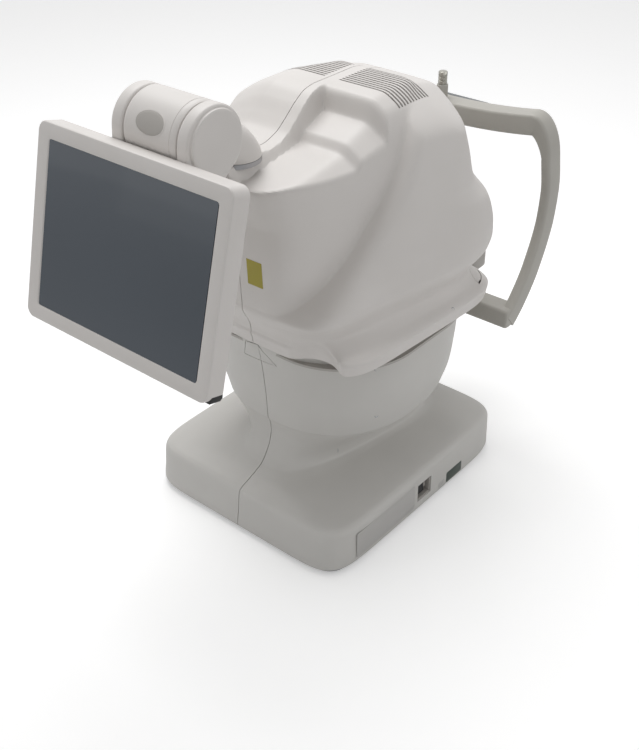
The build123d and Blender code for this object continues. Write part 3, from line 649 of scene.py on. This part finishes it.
covers = {}
fronts = []
for side, name in ((-1, "head_cover_left_moulding"), (1, "head_cover_right_moulding")):
    rows, cols = skins[side].shape[:2]
    skin = tidy_mesh(build(name, skins[side], sheet_faces(rows, cols, False)))
    front = tidy_mesh(build("front_" + name, skins[side], sheet_faces(rows, cols, False)))
    covers[side] = wall(split_skin(skin, False), WALL_MM)
    fronts.append(split_skin(front, True))
print({p.name: len(p.data.polygons) for p in covers.values()})

# %% [markdown]
# Cooling air leaves through two grilles in the crown. Each slot is a narrow upright box taken
# out of the cover, so it follows the crown and bends down over the right shoulder.

# %% Air slots
SLOT_COUNT, SLOT_PITCH, SLOT_W, SLOT_Y = 11, 5.0, 2.6, -2.0
SLOT_LOW, SLOT_HIGH = 478.0, 530.0


def slot_cutter(name, x0, x1):
    """All the boxes of one grille as one mesh."""
    y0 = SLOT_Y + SLOT_PITCH * np.arange(SLOT_COUNT)[:, None]
    ring = np.array([(0, 0), (1, 0), (1, 1), (0, 1)], float)
    x = x0 + (x1 - x0) * ring[:, 0] + 0 * y0
    y = y0 + SLOT_W * ring[:, 1]
    low = np.stack([x, y, np.full(x.shape, SLOT_LOW)], axis=-1)
    high = np.stack([x, y, np.full(x.shape, SLOT_HIGH)], axis=-1)
    points = np.concatenate([low, high], axis=1)
    sides = np.array([(3, 2, 1, 0), (4, 5, 6, 7), (0, 1, 5, 4), (1, 2, 6, 5), (2, 3, 7, 6), (3, 0, 4, 7)])
    faces = (sides[None] + 8 * np.arange(SLOT_COUNT)[:, None, None]).reshape(-1, 4)
    return build(name, points, faces)


for side, x0, x1 in ((-1, -74.0, -6.0), (1, 14.0, 93.0)):
    tool = slot_cutter("slots", x0, x1)
    cut(covers[side], tool)
    discard(tool)
    name = "left" if side < 0 else "right"
    fit(covers[side], "head", shell_white, "shell", "head_cover_" + name)
print({p.name: len(p.data.polygons) for p in covers.values()})

# %% [markdown]
# Black sheets lie under the grilles as painted shade, so the slots look dark. Each is a sheet that keeps the
# same distance below the crown.

# %% Painted shade under the grilles
SHADE_SHEET_DROP = 6.0
# black sheets of painted shade, one under each grille
for name, x0, x1 in (("slot_shade_left", -78.0, -3.0), ("slot_shade_right", 11.0, 96.0)):
    x, y = np.meshgrid(np.linspace(x0, x1, 30), np.linspace(SLOT_Y - 3, SLOT_Y + 58, 20))
    points = np.stack([x, y, front_crown(x, y) - SHADE_SHEET_DROP], axis=-1)
    sheet = tidy_mesh(build(name, points, sheet_faces(20, 30, False)))
    fit(wall(sheet, 1.0), "head", rubber_black, "rubber")
print("slot shade sheets laid")

# %% Front cover
front_cover = wall(joined("head_front_moulding", fronts), WALL_MM)
AXIS_Z, MOUTH_R = 352.0, 28.0
CAMERA_X, CAMERA_Z, CAMERA_R = 46.0, AXIS_Z + 6.0, 7.5
cameras = [(side * CAMERA_X, CAMERA_Z, CAMERA_R) for side in (-1, 1)]
for x, z, radius in [(0, AXIS_Z, MOUTH_R)] + cameras:
    tool = spun("bore", [(0, radius), (90, radius)], (x, 100, z), (0, 1, 0), 72)
    cut(front_cover, tool)
    discard(tool)
fit(front_cover, "head", shell_white, "shell", "head_front_cover")
print("front cover", len(front_cover.data.polygons), "faces")

# %% [markdown]
# ## Base and pedestal
# The base is a low tray with soft edges whose top climbs to a foot; the pedestal stands on the
# foot and opens like a bowl. Both are stacks of rounded outlines. The heights of the outlines
# are smoothed, so that the walls curve with no flat bands.


# %% Outlines of base and pedestal
def half_stack(name, table, heights, side, cols=110, lip=()):
    """Half of a stack of superellipses as an open skin, from the rear seam to the front seam.

    The table is height, half width, rear width as a share, rear, front, squareness. A lip is
    more rings at the top, each set in from the last outline.
    """
    half, share, rear, front, power = (column[:, None] for column in smooth_table(table, heights))
    turn = np.linspace(-np.pi / 2, np.pi / 2, cols)[None, :]
    along = np.sign(np.sin(turn)) * np.abs(np.sin(turn)) ** (2 / power)
    across = np.abs(np.cos(turn)) ** (2 / power)
    across[:, [0, -1]] = 0
    x = half * (share + (1 - share) * (0.5 + 0.5 * along)) * across
    y = (rear + front) / 2 + (front - rear) / 2 * along
    points = np.stack([side * x, y, np.broadcast_to(heights[:, None], x.shape)], axis=-1)
    inner = [points[-1:] * [1 - inset / 150, 1 - inset / 150, 1] - [0, 0, drop] for inset, drop in lip]
    points = np.concatenate([points, *inner])
    points[..., 0] += side * SEAM_HALF
    return tidy_mesh(build(name, points, sheet_faces(*points.shape[:2], False)))


# %% Base covers
BASE = [
    (6, 149, 1, -177, 168, 9), (8, 150, 1, -178, 169, 9), (30, 150, 1, -175, 168, 9),
    (52, 149.6, 1, -172.4, 167, 9), (57, 148, 1, -170.5, 165.5, 9), (60.2, 144, 1, -166.5, 162, 9),
    (62.4, 136, 0.99, -160, 156, 8), (65, 120, 0.90, -153, 148, 6.5), (67.5, 106, 0.76, -147, 138, 5),
    (70, 99, 0.62, -140, 130, 4), (75, 94, 0.56, -131, 123, 3.4), (86, 92, 0.60, -122, 119, 3.0),
    (100, 97, 0.70, -115, 119, 2.8), (115, 108, 0.84, -112, 124, 2.6), (126, 118, 0.96, -113, 132, 2.5),
    (131.5, 121, 1, -115, 134, 2.4),
]
PEDESTAL = [
    (132.5, 122, 1, -116, 135, 2.4), (136, 124, 1, -116.5, 136, 2.4), (165, 131, 1, -118, 139, 2.6),
    (205, 138, 0.95, -122, 142, 2.55), (226, 142, 0.90, -125, 143, 2.5), (238, 144, 0.87, -127, 144, 2.5),
    (244, 144, 0.86, -127, 144, 2.5),
]
base_heights = np.concatenate([np.linspace(6, 52, 14), np.linspace(53, 80, 46), np.linspace(82, 131.5, 26)])
pedestal_heights = np.concatenate([np.linspace(132.5, 136, 4), np.linspace(139, 244, 48)])
base_covers, cup_covers = {}, {}
for side, name in ((-1, "left"), (1, "right")):
    base_covers[side] = wall(half_stack("base_moulding_" + name, BASE, base_heights, side), WALL_MM)
    cup_lip = [(1.2, -1.6), (3.6, -3.0), (7.5, -4.0), (13, -4.4), (24, -4.5), (38, -4.5), (52, -4.5)]
    cup = half_stack("pedestal_moulding_" + name, PEDESTAL, pedestal_heights, side, lip=cup_lip)
    cup_covers[side] = wall(cup, WALL_MM)
print("base covers", [len(p.data.polygons) for p in base_covers.values()])

# %% [markdown]
# The right side wall has the switch recess, the left one the two sockets, and the operator's
# face of the pedestal has a small four-sided service panel. The openings are cut.


# %% Openings in the covers
def prism(name, outline_xz, y0, y1):
    """A flat outline in X and Z carried along Y."""
    ring = np.asarray(outline_xz, float)
    rings = np.stack([np.column_stack([ring[:, 0], np.full(len(ring), y), ring[:, 1]]) for y in (y0, y1)])
    return stack(name, rings)


SIDE_X = 150.0
for side, y0, y1, z0, z1 in ((1, -16, 12, 18, 43), (-1, 29, 43, 12, 26), (-1, 60, 88, 16, 38)):
    near, far = sorted((side * (SIDE_X - 8), side * (SIDE_X + 5)))
    tool = block("opening", near, far, y0, y1, z0, z1)
    cut(base_covers[side], tool)
    discard(tool)
panel_outline = [(-27, 217), (22, 220), (-2, 240.5), (-20, 238)]
panel_grown = [(-27.7, 216.3), (23.6, 219.7), (-1.8, 241.6), (-20.6, 238.8)]
for side in (-1, 1):
    tool = prism("panel_gap", panel_grown, -160, -100)
    cut(cup_covers[side], tool, solver="FAST")
    discard(tool)
panel_skins = [half_stack("panel_half", PEDESTAL, np.linspace(214, 243, 24), side) for side in (-1, 1)]
panel = wall(joined("service_panel_moulding", panel_skins), WALL_MM)
tool = prism("panel_shape", panel_outline, -160, -100)
cut(panel, tool, "INTERSECT")
discard(tool)
fit(panel, "base", shell_white_painted_shade, "shell", "service_panel")
for side, name in ((-1, "left"), (1, "right")):
    fit(base_covers[side], "base", shell_white_painted_shade, "shell", "base_cover_" + name)
    fit(cup_covers[side], "base", shell_white_painted_shade, "shell", "pedestal_cover_" + name)
print("service panel", len(panel.data.polygons), "faces")

# %% [markdown]
# ## The monitor
# A bezel with rounded corners round a recessed pane, and a rear cover behind a thin parting
# line. Both are a profile carried round a rounded rectangle, in the leaning plane of the screen.

# %% Plane of the screen
SCREEN_Y, SCREEN_Z, LEAN = -306.0, 425.0, math.radians(15.1)
MONITOR_W, MONITOR_H, BEZEL_T, REAR_T = 258.0, 200.0, 13.0, 19.0
OPENING_W = 225.0
out_of_screen = np.array([0.0, -math.cos(LEAN), math.sin(LEAN)])
up_screen = np.array([0.0, math.sin(LEAN), math.cos(LEAN)])


def on_screen(u, v, depth):
    """Point u to the right, v up, and depth behind the bezel's face."""
    return (
        np.array([0.0, SCREEN_Y, SCREEN_Z]) + u[..., None] * np.array([1.0, 0, 0])
        + v[..., None] * up_screen - depth[..., None] * out_of_screen
    )


def rounded_rectangle(width, height, radius, corner=10):
    """Closed outline with circular corners of so many points, as u and v with a row for each size."""
    width, height, radius = (np.asarray(value, float).reshape(-1, 1) for value in (width, height, radius))
    turn = np.linspace(0, np.pi / 2, corner)[None, :]
    us, vs = [], []
    for quarter in range(4):
        sx, sy = ((1, 1), (-1, 1), (-1, -1), (1, -1))[quarter]
        angle = turn + quarter * np.pi / 2
        us.append(sx * (width / 2 - radius) + radius * np.cos(angle))
        vs.append(sy * (height / 2 - radius) + radius * np.sin(angle))
    return np.concatenate(us, axis=1), np.concatenate(vs, axis=1)


def framed(name, profile, close):
    """Profile of (inset, depth, corner radius) carried round the monitor's outline."""
    inset, depth, radius = np.asarray(profile, float).T
    u, v = rounded_rectangle(MONITOR_W - 2 * inset, MONITOR_H - 2 * inset, radius)
    points = on_screen(u, v, np.broadcast_to(depth[:, None], u.shape))
    if close:
        points = np.concatenate([points, points[:1]])
        return tidy_mesh(build(name, points, sheet_faces(*points.shape[:2], True)), crease_degrees=30)
    return stack(name, points)


rim = (MONITOR_W - OPENING_W) / 2
print("bezel rim", rim)

# %% Bezel, pane border and rear cover
# the moulded front frame is deep: the parting line lies this far behind its face
PARTING = 21.0
edge = [(0.0, PARTING, 10), (0.0, 2.2, 10), (0.3, 1.0, 10), (0.9, 0.3, 9.5), (1.8, 0.0, 9)]
inner = [(rim - 3.2, 0.15, 5), (rim - 1.4, 0.5, 4), (rim - 0.2, 1.6, 3), (rim, 4.0, 2.5), (rim, 8.0, 2.5)]
bezel = framed("monitor_bezel_moulding", edge + inner + [(3.0, 8.0, 8), (3.0, PARTING, 8)], True)
fit(bezel, "monitor", shell_white, "shell", "monitor_bezel")
shell_profile = [
    (3.2, PARTING + 0.7, 8), (1.4, PARTING + 0.7, 9.5), (1.3, PARTING + 1.0, 10), (3.8, PARTING + 3.0, 10),
    (8.4, PARTING + 6.9, 10), (11.6, PARTING + 9.4, 10), (13.8, PARTING + 10.6, 9), (18, PARTING + 11.0, 8),
]
rear_cover = framed("monitor_rear_moulding", shell_profile, False)
# the rear cover wears the shell white with painted shade, a shade greyer than the bezel
fit(rear_cover, "monitor", shell_white_painted_shade, "shell", "monitor_rear_cover")
# a black ring round the pane's edge is painted shade: it stands in for the shade in the recess behind the
# bezel
pane_shade_profile = [(rim - 0.2, 2.6, 2.5), (rim + 2.0, 2.6, 2.0), (rim + 2.0, 3.6, 2.0), (rim - 0.2, 3.6, 2.5)]
pane_shade_ring = framed("pane_edge_painted_shade", pane_shade_profile, True)
fit(pane_shade_ring, "monitor", black_abs, "black")
# black plug under the lower right corner
u, v = np.array([(108, -101), (126.5, -101), (128.6, -97), (128.6, -93), (108, -93)], float).T
plug_rings = np.stack([on_screen(u, v, np.full(5, depth)) for depth in (7.0, 22.0)])
plug = stack("corner_plug_moulding", plug_rings)
fit(soften(plug, 0.8, 2), "monitor", black_abs, "black", "corner_plug")
print("monitor pieces", [len(p.data.polygons) for p in (bezel, rear_cover, pane_shade_ring, plug)])

# %% [markdown]
# ## The arm and its hinge
# A round barrel with an oval button lies across the top of a neck that swivels on the head. Two
# cheeks on the monitor's back hold the barrel's pin. The barrel and discs are turned profiles;
# the neck is a stack of rounded sections that leans from the swivel to the barrel.

# %% Barrel and neck
BARREL_Y, BARREL_Z, BARREL_R, BARREL_HALF = -222.0, 523.0, 36.0, 35.0
ARM_Y, SHOULDER_Z, SWIVEL_R = -148.0, 470.0, 27.0
axis_point = (0, BARREL_Y, BARREL_Z)
barrel_end = [(BARREL_HALF, 6), (BARREL_HALF, 32.5), (34.2, 34.6), (32.2, 35.8)]
barrel_groove = [(26.6, 35.96), (27.0, 35.5), (27.4, 35.5), (27.8, 35.96)]
barrel_profile = [(-x, r) for x, r in barrel_end] + [(-30, 35.96)] + barrel_groove + barrel_end[::-1]
barrel = spun("barrel_moulding", barrel_profile, axis_point, (1, 0, 0), 128)
t = np.linspace(0, 1, 28)[:, None]
turn = np.linspace(0, 2 * np.pi, 72, endpoint=False)[None, :]
power = 2 / (2.0 + 1.6 * t)
centre_y = ARM_Y + (BARREL_Y + 6 - ARM_Y) * t ** 1.15
centre_z = SHOULDER_Z + 5.4 + 39 * np.sin(np.pi / 2 * t) ** 0.9
half_x = SWIVEL_R + (24.5 - SWIVEL_R) * t
half_l = SWIVEL_R + (20 - SWIVEL_R) * t
lean = np.pi / 2 * t ** 0.8
cosine, sine = np.cos(turn), np.sin(turn)
across = half_x * np.sign(cosine) * np.abs(cosine) ** power
along = half_l * np.sign(sine) * np.abs(sine) ** power
neck_points = np.stack([across, centre_y + along * np.cos(lean), centre_z + along * np.sin(lean)], axis=-1)
neck = stack("neck_moulding", neck_points)
fit(barrel, "arm", shell_white, "shell", "monitor_arm")
fit(neck, "arm", shell_white, "shell", "monitor_arm")
print("barrel and neck", len(barrel.data.polygons), len(neck.data.polygons))

# %% [markdown]
# The oval button sits on the barrel where the operator reaches it. It is an ellipse drawn on the
# barrel's surface: each point goes to its angle round the barrel, and a small dome lifts it.


# %% Oval button
def on_barrel(u, v, lift):
    """Point u along the barrel and v round it, lift above its surface."""
    angle = math.radians(152.0) - v / BARREL_R
    radius = BARREL_R + lift
    return np.stack([u, BARREL_Y + radius * np.cos(angle), BARREL_Z + radius * np.sin(angle)], axis=-1)


def oval(name, half_u, half_v, profile, steps=72):
    """Ellipse in rings: profile is (share of the half sizes, lift)."""
    share, lift = np.asarray(profile, float).T[:, :, None]
    turn = np.linspace(0, 2 * np.pi, steps, endpoint=False)[None, :]
    u, v = share * half_u * np.cos(turn), share * half_v * np.sin(turn)
    return stack(name, on_barrel(u, v, lift + 0 * turn))


button_face = [(share, 0.3) for share in (0.97, 0.8, 0.6, 0.4, 0.2, 0.02)]
button = oval("barrel_button", 18.0, 11.0, [(0.02, -2), (1, -2), (1, 0.15)] + button_face)
fit(button, "arm", cap_grey, "seal_grey", "barrel_cap")
ring_profile = [(0.94, -1.5), (1, -1.5), (1, 0.25), (0.97, 0.3), (0.94, 0.2), (0.94, -1.4)]
ring = oval("barrel_button_ring", 19.1, 12.1, ring_profile)
fit(ring, "arm", shell_white, "shell")
print("button", len(button.data.polygons))

# %% [markdown]
# Each cheek is one outline: a disc round the pin that runs down into the monitor's back. The
# outline is the convex hull of the disc and the foot, found by taking, in every direction, the
# farther of the two. Its edges are rounded afterwards.

# %% Cheeks, back plate and hub discs
CHEEK_X, CHEEK_T = 35.8, 15.0
MONITOR_T = BEZEL_T + REAR_T


def hull(points):
    """Convex outline of a set of points, by Andrew's monotone chain."""
    ordered = sorted(map(tuple, points))

    def turn_of(a, b, c):
        """Positive when the way from a over b to c turns left."""
        return (b[0] - a[0]) * (c[1] - a[1]) - (b[1] - a[1]) * (c[0] - a[0])

    def chain(sequence):
        kept = []
        for p in sequence:
            while len(kept) > 1 and turn_of(kept[-2], kept[-1], p) <= 0:
                kept.pop()
            kept.append(p)
        return kept[:-1]

    return np.array(chain(ordered) + chain(ordered[::-1]))


def back_point(u, d):
    """Y and Z of a point u up the monitor's back and d out of it."""
    return (
        SCREEN_Y + (MONITOR_T + d) * math.cos(LEAN) + u * math.sin(LEAN),
        SCREEN_Z - (MONITOR_T + d) * math.sin(LEAN) + u * math.cos(LEAN),
    )


turn = np.linspace(0, 2 * np.pi, 96, endpoint=False)
DISC_R = BARREL_R - 0.04
disc = np.column_stack([BARREL_Y + DISC_R * np.cos(turn), BARREL_Z + DISC_R * np.sin(turn)])
foot = [back_point(34, 0.5), back_point(84, 0.5), back_point(84, 6), back_point(34, 8)]
cheek_outline = hull(np.vstack([disc, foot]))
for side in (-1, 1):
    near, far = sorted((side * CHEEK_X, side * (CHEEK_X + CHEEK_T)))
    rings = np.stack([
        np.column_stack([np.full(len(cheek_outline), x), cheek_outline]) for x in (near, far)
    ])
    cheek = soften(stack("cheek_" + ("left" if side < 0 else "right"), rings), 3.0, 4)
    fit(cheek, "monitor", shell_white, "shell", "monitor_bracket")
    start = side * (CHEEK_X + CHEEK_T)
    hub = spun(
        "hub_disc_" + ("left" if side < 0 else "right"),
        [(-1.5, 33), (0.4, 33), (0.6, 32.4), (2.4, 32.0), (3.0, 31.0), (3.2, 29), (2.9, 26), (2.9, 1)],
        (start - side * 0.2, BARREL_Y, BARREL_Z), (side, 0, 0), 96,
    )
    fit(hub, "monitor", shell_white, "shell", "hinge_caps")
print("cheek outline", len(cheek_outline), "points")

# %% Back plate
half_w, low, high = CHEEK_X + CHEEK_T, -42.0, 58.0
size = np.array([2 * half_w + 6, 2 * half_w + 6, 2 * half_w + 2, 2 * half_w - 6])
tall = np.array([104.0, 104.0, 100.0, 92.0])
depth = np.array([-0.5, 1.5, 3.2, 4.2])
u, v = rounded_rectangle(size, tall, np.full(4, 8.0))
plate_depth = np.broadcast_to((MONITOR_T + depth)[:, None], u.shape)
plate = stack("bracket_plate", on_screen(u, v + (low + high) / 2, plate_depth))
fit(plate, "monitor", shell_white, "shell", "monitor_bracket")
print("plate", len(plate.data.polygons))

# %% [markdown]
# ## Head rest and chin rest
# Two posts lean towards the patient and carry a bar for the forehead. It is one moulding, so it
# is one swept section: up the left post, round the corner, along the sagging bar and down the
# right post. The section turns from a thin post into a square bar on the way.

# %% Head rest
POST_X, BAR_Y, BAR_Z, BAR_H, BAR_D = 150.0, 206.0, 405.0, 26.0, 26.0
LOW_Y, LOW_Z, LOW_D, LOW_H = 164.0, 188.0, 28.0, 26.0
post_keys = np.array([(160, 196), (180, 214), (208, 252), (231, 312), (234, 345), (226, 392)], float)
s = np.linspace(0, 1, 60)
key_s = np.concatenate([[0], np.cumsum(np.hypot(*np.diff(post_keys, axis=0).T))])
key_s /= key_s[-1]
post_y, post_z = (smooth(key_s, post_keys[:, c], s) for c in (0, 1))
corner_turn = np.linspace(0, np.pi / 2, 16)[1:]
corner_r = 20.0
bar_mid = BAR_Z + BAR_H / 2
corner_grow = np.linspace(0, 1, 16)[1:]
corner_x = POST_X - corner_r + (corner_r - (BAR_H - 13) / 2 * corner_grow) * np.cos(corner_turn) - 0.16
corner_z = post_z[-1] + (bar_mid + 11 - post_z[-1]) * np.sin(corner_turn)
corner_y = post_y[-1] + (BAR_Y + BAR_D / 2 - post_y[-1]) * (corner_turn / (np.pi / 2))
bar_x = np.linspace(POST_X - corner_r, 0, 30)[1:]
bar_z = bar_mid + 11 * (bar_x / (POST_X - corner_r)) ** 2
half_path = np.concatenate([
    np.column_stack([np.full(60, POST_X), post_y, post_z]),
    np.column_stack([corner_x, corner_y, corner_z]),
    np.column_stack([bar_x, np.full(29, BAR_Y + BAR_D / 2), bar_z]),
])
width_key = np.concatenate([np.full(60, 0.0), corner_grow, np.ones(29)])
path_points = np.concatenate([half_path, (half_path * [-1, 1, 1])[-2::-1]])
blend = np.concatenate([width_key, width_key[-2::-1]])
tangent = np.gradient(path_points, axis=0)
tangent /= np.linalg.norm(tangent, axis=1)[:, None]
# the depth direction of the section: the patient's direction, made square to the path
deep = np.array([0.0, 1.0, 0.0]) - tangent * tangent[:, 1:2]
deep /= np.linalg.norm(deep, axis=1)[:, None]
wide = np.cross(tangent, deep)
thick = 13 + (BAR_H - 13) * blend
reach = 28 + (BAR_D - 28) * blend
u, v = rounded_rectangle(thick, reach, np.full(len(thick), 4.5), 6)
points = path_points[:, None] + u[..., None] * wide[:, None] + v[..., None] * deep[:, None]
HOOP_REACH = POST_X + 6.45
points[..., 0] = np.clip(points[..., 0], -HOOP_REACH, HOOP_REACH)
rest = stack("head_rest_hoop", points)
fit(rest, "base", rest_beige, "rest", "headrest_frame")
print("hoop", len(rest.data.polygons), "half width", points[..., 0].max().round(2))

# %% Low bar and its neck
ends = np.array([-155.5, -155.2, -154, -152, 0, 152, 154, 155.2, 155.5])
inset = np.array([3.0, 1.6, 0.5, 0, 0, 0, 0.5, 1.6, 3.0])
u, v = rounded_rectangle(LOW_D - 2 * inset, LOW_H - 2 * inset, np.full(9, 5.0), 8)
points = np.stack([np.broadcast_to(ends[:, None], u.shape), LOW_Y + u, LOW_Z + LOW_H / 2 + v], axis=-1)
low_bar = stack("head_rest_low_bar", points)
fit(low_bar, "base", rest_beige, "rest", "headrest_frame")
t = np.linspace(0, 1, 12)
u, v = rounded_rectangle(120 - 14 * np.sin(np.pi * t), np.full(12, LOW_H - 2), np.full(12, 6.0), 8)
NECK_START_Y, NECK_END_Y = 137.0, LOW_Y - 10.0
neck_y = np.broadcast_to((NECK_START_Y + (NECK_END_Y - NECK_START_Y) * t)[:, None], u.shape)
points = np.stack([u, neck_y, LOW_Z + LOW_H / 2 + v], axis=-1)
neck_bar = stack("head_rest_neck", points)
fit(neck_bar, "base", rest_beige, "rest")
print("low bar", len(low_bar.data.polygons))

# %% [markdown]
# The forehead pad is soft silicone. It is a slab whose face bulges a little and whose edges are
# round: a stack of rounded rectangles that shrink towards the face.

# %% Forehead pad
pad_y = BAR_Y + BAR_D
depth = np.array([-0.5, 0.5, 4.0, 6.5, 8.2, 9.0, 9.0])
shrink = np.array([0, 0, 0, 1.0, 3.0, 7.0, 12.0])
u, v = rounded_rectangle(120 - 2 * shrink, 21 - 1.5 * shrink, np.maximum(8 - 0.5 * shrink, 1.2), 8)
points = np.stack([u, np.broadcast_to((pad_y + depth)[:, None], u.shape), BAR_Z + 14.5 + v], axis=-1)
forehead = stack("forehead_pad_moulding", points)
fit(forehead, "base", pad_grey, "pad", "forehead_pad")

# %% Pin and sleeve
pin_y, pin_z = BAR_Y + 9, BAR_Z + BAR_H
sleeve_profile = [
    (-2, 6.6), (0.4, 7), (7.8, 7), (8.1, 6.6), (8.5, 6.6), (8.8, 7), (16.2, 7), (17, 6.3), (17, 1),
]
sleeve = spun("pin_sleeve", sleeve_profile, (0, pin_y, pin_z), (0, 0, 1), 48)
fit(sleeve, "base", rest_beige, "rest", "post_sleeve")
pin_profile = [
    (16, 4.5), (18, 4.5), (18.2, 5.5), (21.6, 5.5), (21.9, 5.1), (22.5, 5.1), (22.8, 5.5), (25.6, 5.5),
    (25.9, 5.1), (26.5, 5.1), (26.8, 5.5), (31.8, 5.5), (32.6, 5.0), (32.9, 4.2), (32.9, 0.5),
]
pin = spun("accessory_pin", pin_profile, (0, pin_y, pin_z), (0, 0, 1), 48)
fit(pin, "base", chrome, "chrome", "post_pin")
print("pin and sleeve", len(sleeve.data.polygons), len(pin.data.polygons))

# %% [markdown]
# The chin rest is a small tray with a hollow for the chin. Its top is a height that depends on
# the place: high at both ends and lower by a circle's arc in the middle.

# %% Chin rest
CUP_Z, CUP_H, CHIN_Y = 203.0, 23.0, 232.0
turn = np.linspace(0, 2 * np.pi, 120, endpoint=False)[None, :]
# share of the outline, whether it belongs to the top, and height above underside or top
rows = [
    (0.03, 0, 0), (0.9, 0, 0), (0.97, 0, 0.8), (1.0, 0, 3.0),
    (1.0, 1, -3.0), (0.985, 1, -0.9), (0.95, 1, 0.0),
]
rows += [(share, 1, 0.0) for share in np.linspace(0.9, 0.03, 16)]
share, is_top, rise_mm = np.array(rows, float).T[:, :, None]
cosine, sine = np.cos(turn), np.sin(turn)
x = 60 * share * np.sign(cosine) * np.abs(cosine) ** 0.55
y = 26 * share * np.sign(sine) * np.abs(sine) ** 0.55
hollow = 11.5 * np.exp(-(x / 30) ** 4) * np.clip((y + 20) / 24, 0, 1) ** 0.6
z = np.where(is_top > 0, CUP_H - hollow + rise_mm, rise_mm)
cup = stack("chin_tray", np.stack([x, CHIN_Y + 6 + y, CUP_Z + z], axis=-1))
fit(cup, "chinrest", cap_grey, "seal_grey", "chinrest_cup")
u, v = rounded_rectangle(
    np.array([54, 58, 60, 60, 58.5, 56.0]), np.array([66, 70, 72, 72, 70.5, 68.0]), np.full(6, 9.0), 10)
tops = np.array([133, 134, 137, 196, 199.5, 200.8])
points = np.stack([u, 214 + v, np.broadcast_to(tops[:, None], u.shape)], axis=-1)
housing = stack("chin_housing_moulding", points)
tool = spun("rod_bore", [(137, 8.1), (215, 8.1)], (0, CHIN_Y, 0), (0, 0, 1), 48)
cut(housing, tool)
discard(tool)
fit(housing, "base", rest_beige, "rest", "chinrest_housing")
print("tray and housing", len(cup.data.polygons), len(housing.data.polygons))

# %% [markdown]
# ## Small parts on the outside
# Blank film plates stay where the real unit has its notices. Each is a thin rounded slab, a
# fraction of a millimetre proud of the wall.


# %% Plates
def plate_on_side(name, y0, y1, z0, z1, material, slot, *nodes):
    """Rounded film plate on the right wall."""
    shrink = np.array([0.0, 0.0, 0.6])
    u, v = rounded_rectangle(y1 - y0 - shrink, z1 - z0 - shrink, np.full(3, 2.0), 6)
    x = np.array([SIDE_X - 0.5, SIDE_X + 0.35, SIDE_X + 0.55])
    points = np.stack([np.broadcast_to(x[:, None], u.shape), (y0 + y1) / 2 + u, (z0 + z1) / 2 + v], axis=-1)
    return fit(stack(name, points), "base", material, slot, *nodes)


plate_on_side("plate_long", -135, -22, 12, 48, film_pale, "label", "rating_plate")
plate_on_side("plate_square", 29, 42, 8, 19, film_pale, "label", "rating_plate")
plate_on_side("plate_green", 46, 80, 9, 25, film_green, "label", "rating_plate")
print("plates done")


# %% [markdown]
# A film on the head follows its skin: each of its points is found on a ray, as the skin was. Small
# dished screws hold the covers of bowl and head.

# %% Film and screws on curved walls
u, v = np.meshgrid(np.linspace(0, 1, 14), np.linspace(0, 1, 20))
start = np.stack([12 + 21 * u, np.full(u.shape, -60.0), 335 + 30 * v], axis=-1)
reach = along_rays(head_field, start, np.broadcast_to([0.0, -1.0, 0.0], start.shape), 5, 200)
film = build("film_ochre", start - [0, 1, 0] * (reach[..., None] + 0.35), sheet_faces(20, 14, False))
fit(wall(tidy_mesh(film), 0.5), "head", film_yellow, "label")


def wall_point(z, turn_degrees):
    """Point on the bowl's right wall; the angle runs from the rear seam to the front one."""
    half, share, rear, front, power = (float(c) for c in smooth_table(PEDESTAL, z))
    angle = math.radians(turn_degrees - 90)
    along = math.copysign(abs(math.sin(angle)) ** (2 / power), math.sin(angle))
    x = half * (share + (1 - share) * (0.5 + 0.5 * along)) * math.cos(angle) ** (2 / power)
    return np.array([x, (rear + front) / 2 + (front - rear) / 2 * along, z])


def screw(name, at, direction, body, radius=2.6):
    """Dished screw head, let into the wall, turned about its own axis."""
    profile = [(-1.5, radius), (0.25, radius), (0.5, radius * 0.85), (-0.3, radius * 0.4), (-0.3, 0.1)]
    return fit(spun(name, profile, at, direction, 24), body, steel, "steel")


SCREW_TURN = 62.0
for height in (160, 226):
    screw(f"bowl_screw_{height}", wall_point(height, SCREW_TURN), (0.93, -0.35, 0.05), "base")
screw("head_screw", np.array([146.6, 40.7, 265.8]), (0.75, -0.1, 0.65), "head", 2.0)
print("film and screws done")

# %% [markdown]
# ## Finishes for the CAD nodes that stay
# The inner works, feet, sockets and bars have the right shape already. They keep their CAD mesh
# and get a finish.

# %% Finishes of CAD nodes
keep = {
    steel: ["base_plate", "floor_screws", "y_rails", "x_rails", "z_guides", "y_leadscrew", "x_leadscrew",
            "z_leadscrew", "tilt_pin", "swivel_base", "chinrest_rod"],
    alu: ["column_frame", "y_carriage", "x_carriage", "head_pan", "optical_bench", "lift_bushes"],
    enamel: ["y_motor", "x_motor", "z_motor", "power_supply"],
    board: ["control_boards", "head_board"],
    anodised: ["optics_modules", "display_module"],
    black_abs: ["power_rocker", "power_inlet", "fan_frame", "fan_rotor", "objective_barrel", "front_cameras"],
    rubber_black: ["rubber_feet"],
    cap_grey: ["data_ports", "switch_housing", "cup_deck"],
    screen_glass: ["touch_panel"],
    lens_glass: ["objective_lens"],
}
for material, names in keep.items():
    for name in names:
        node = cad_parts[name]
        node.data.materials.clear()
        node.data.materials.append(material)
print(sum(map(len, keep.values())), "CAD nodes finished")
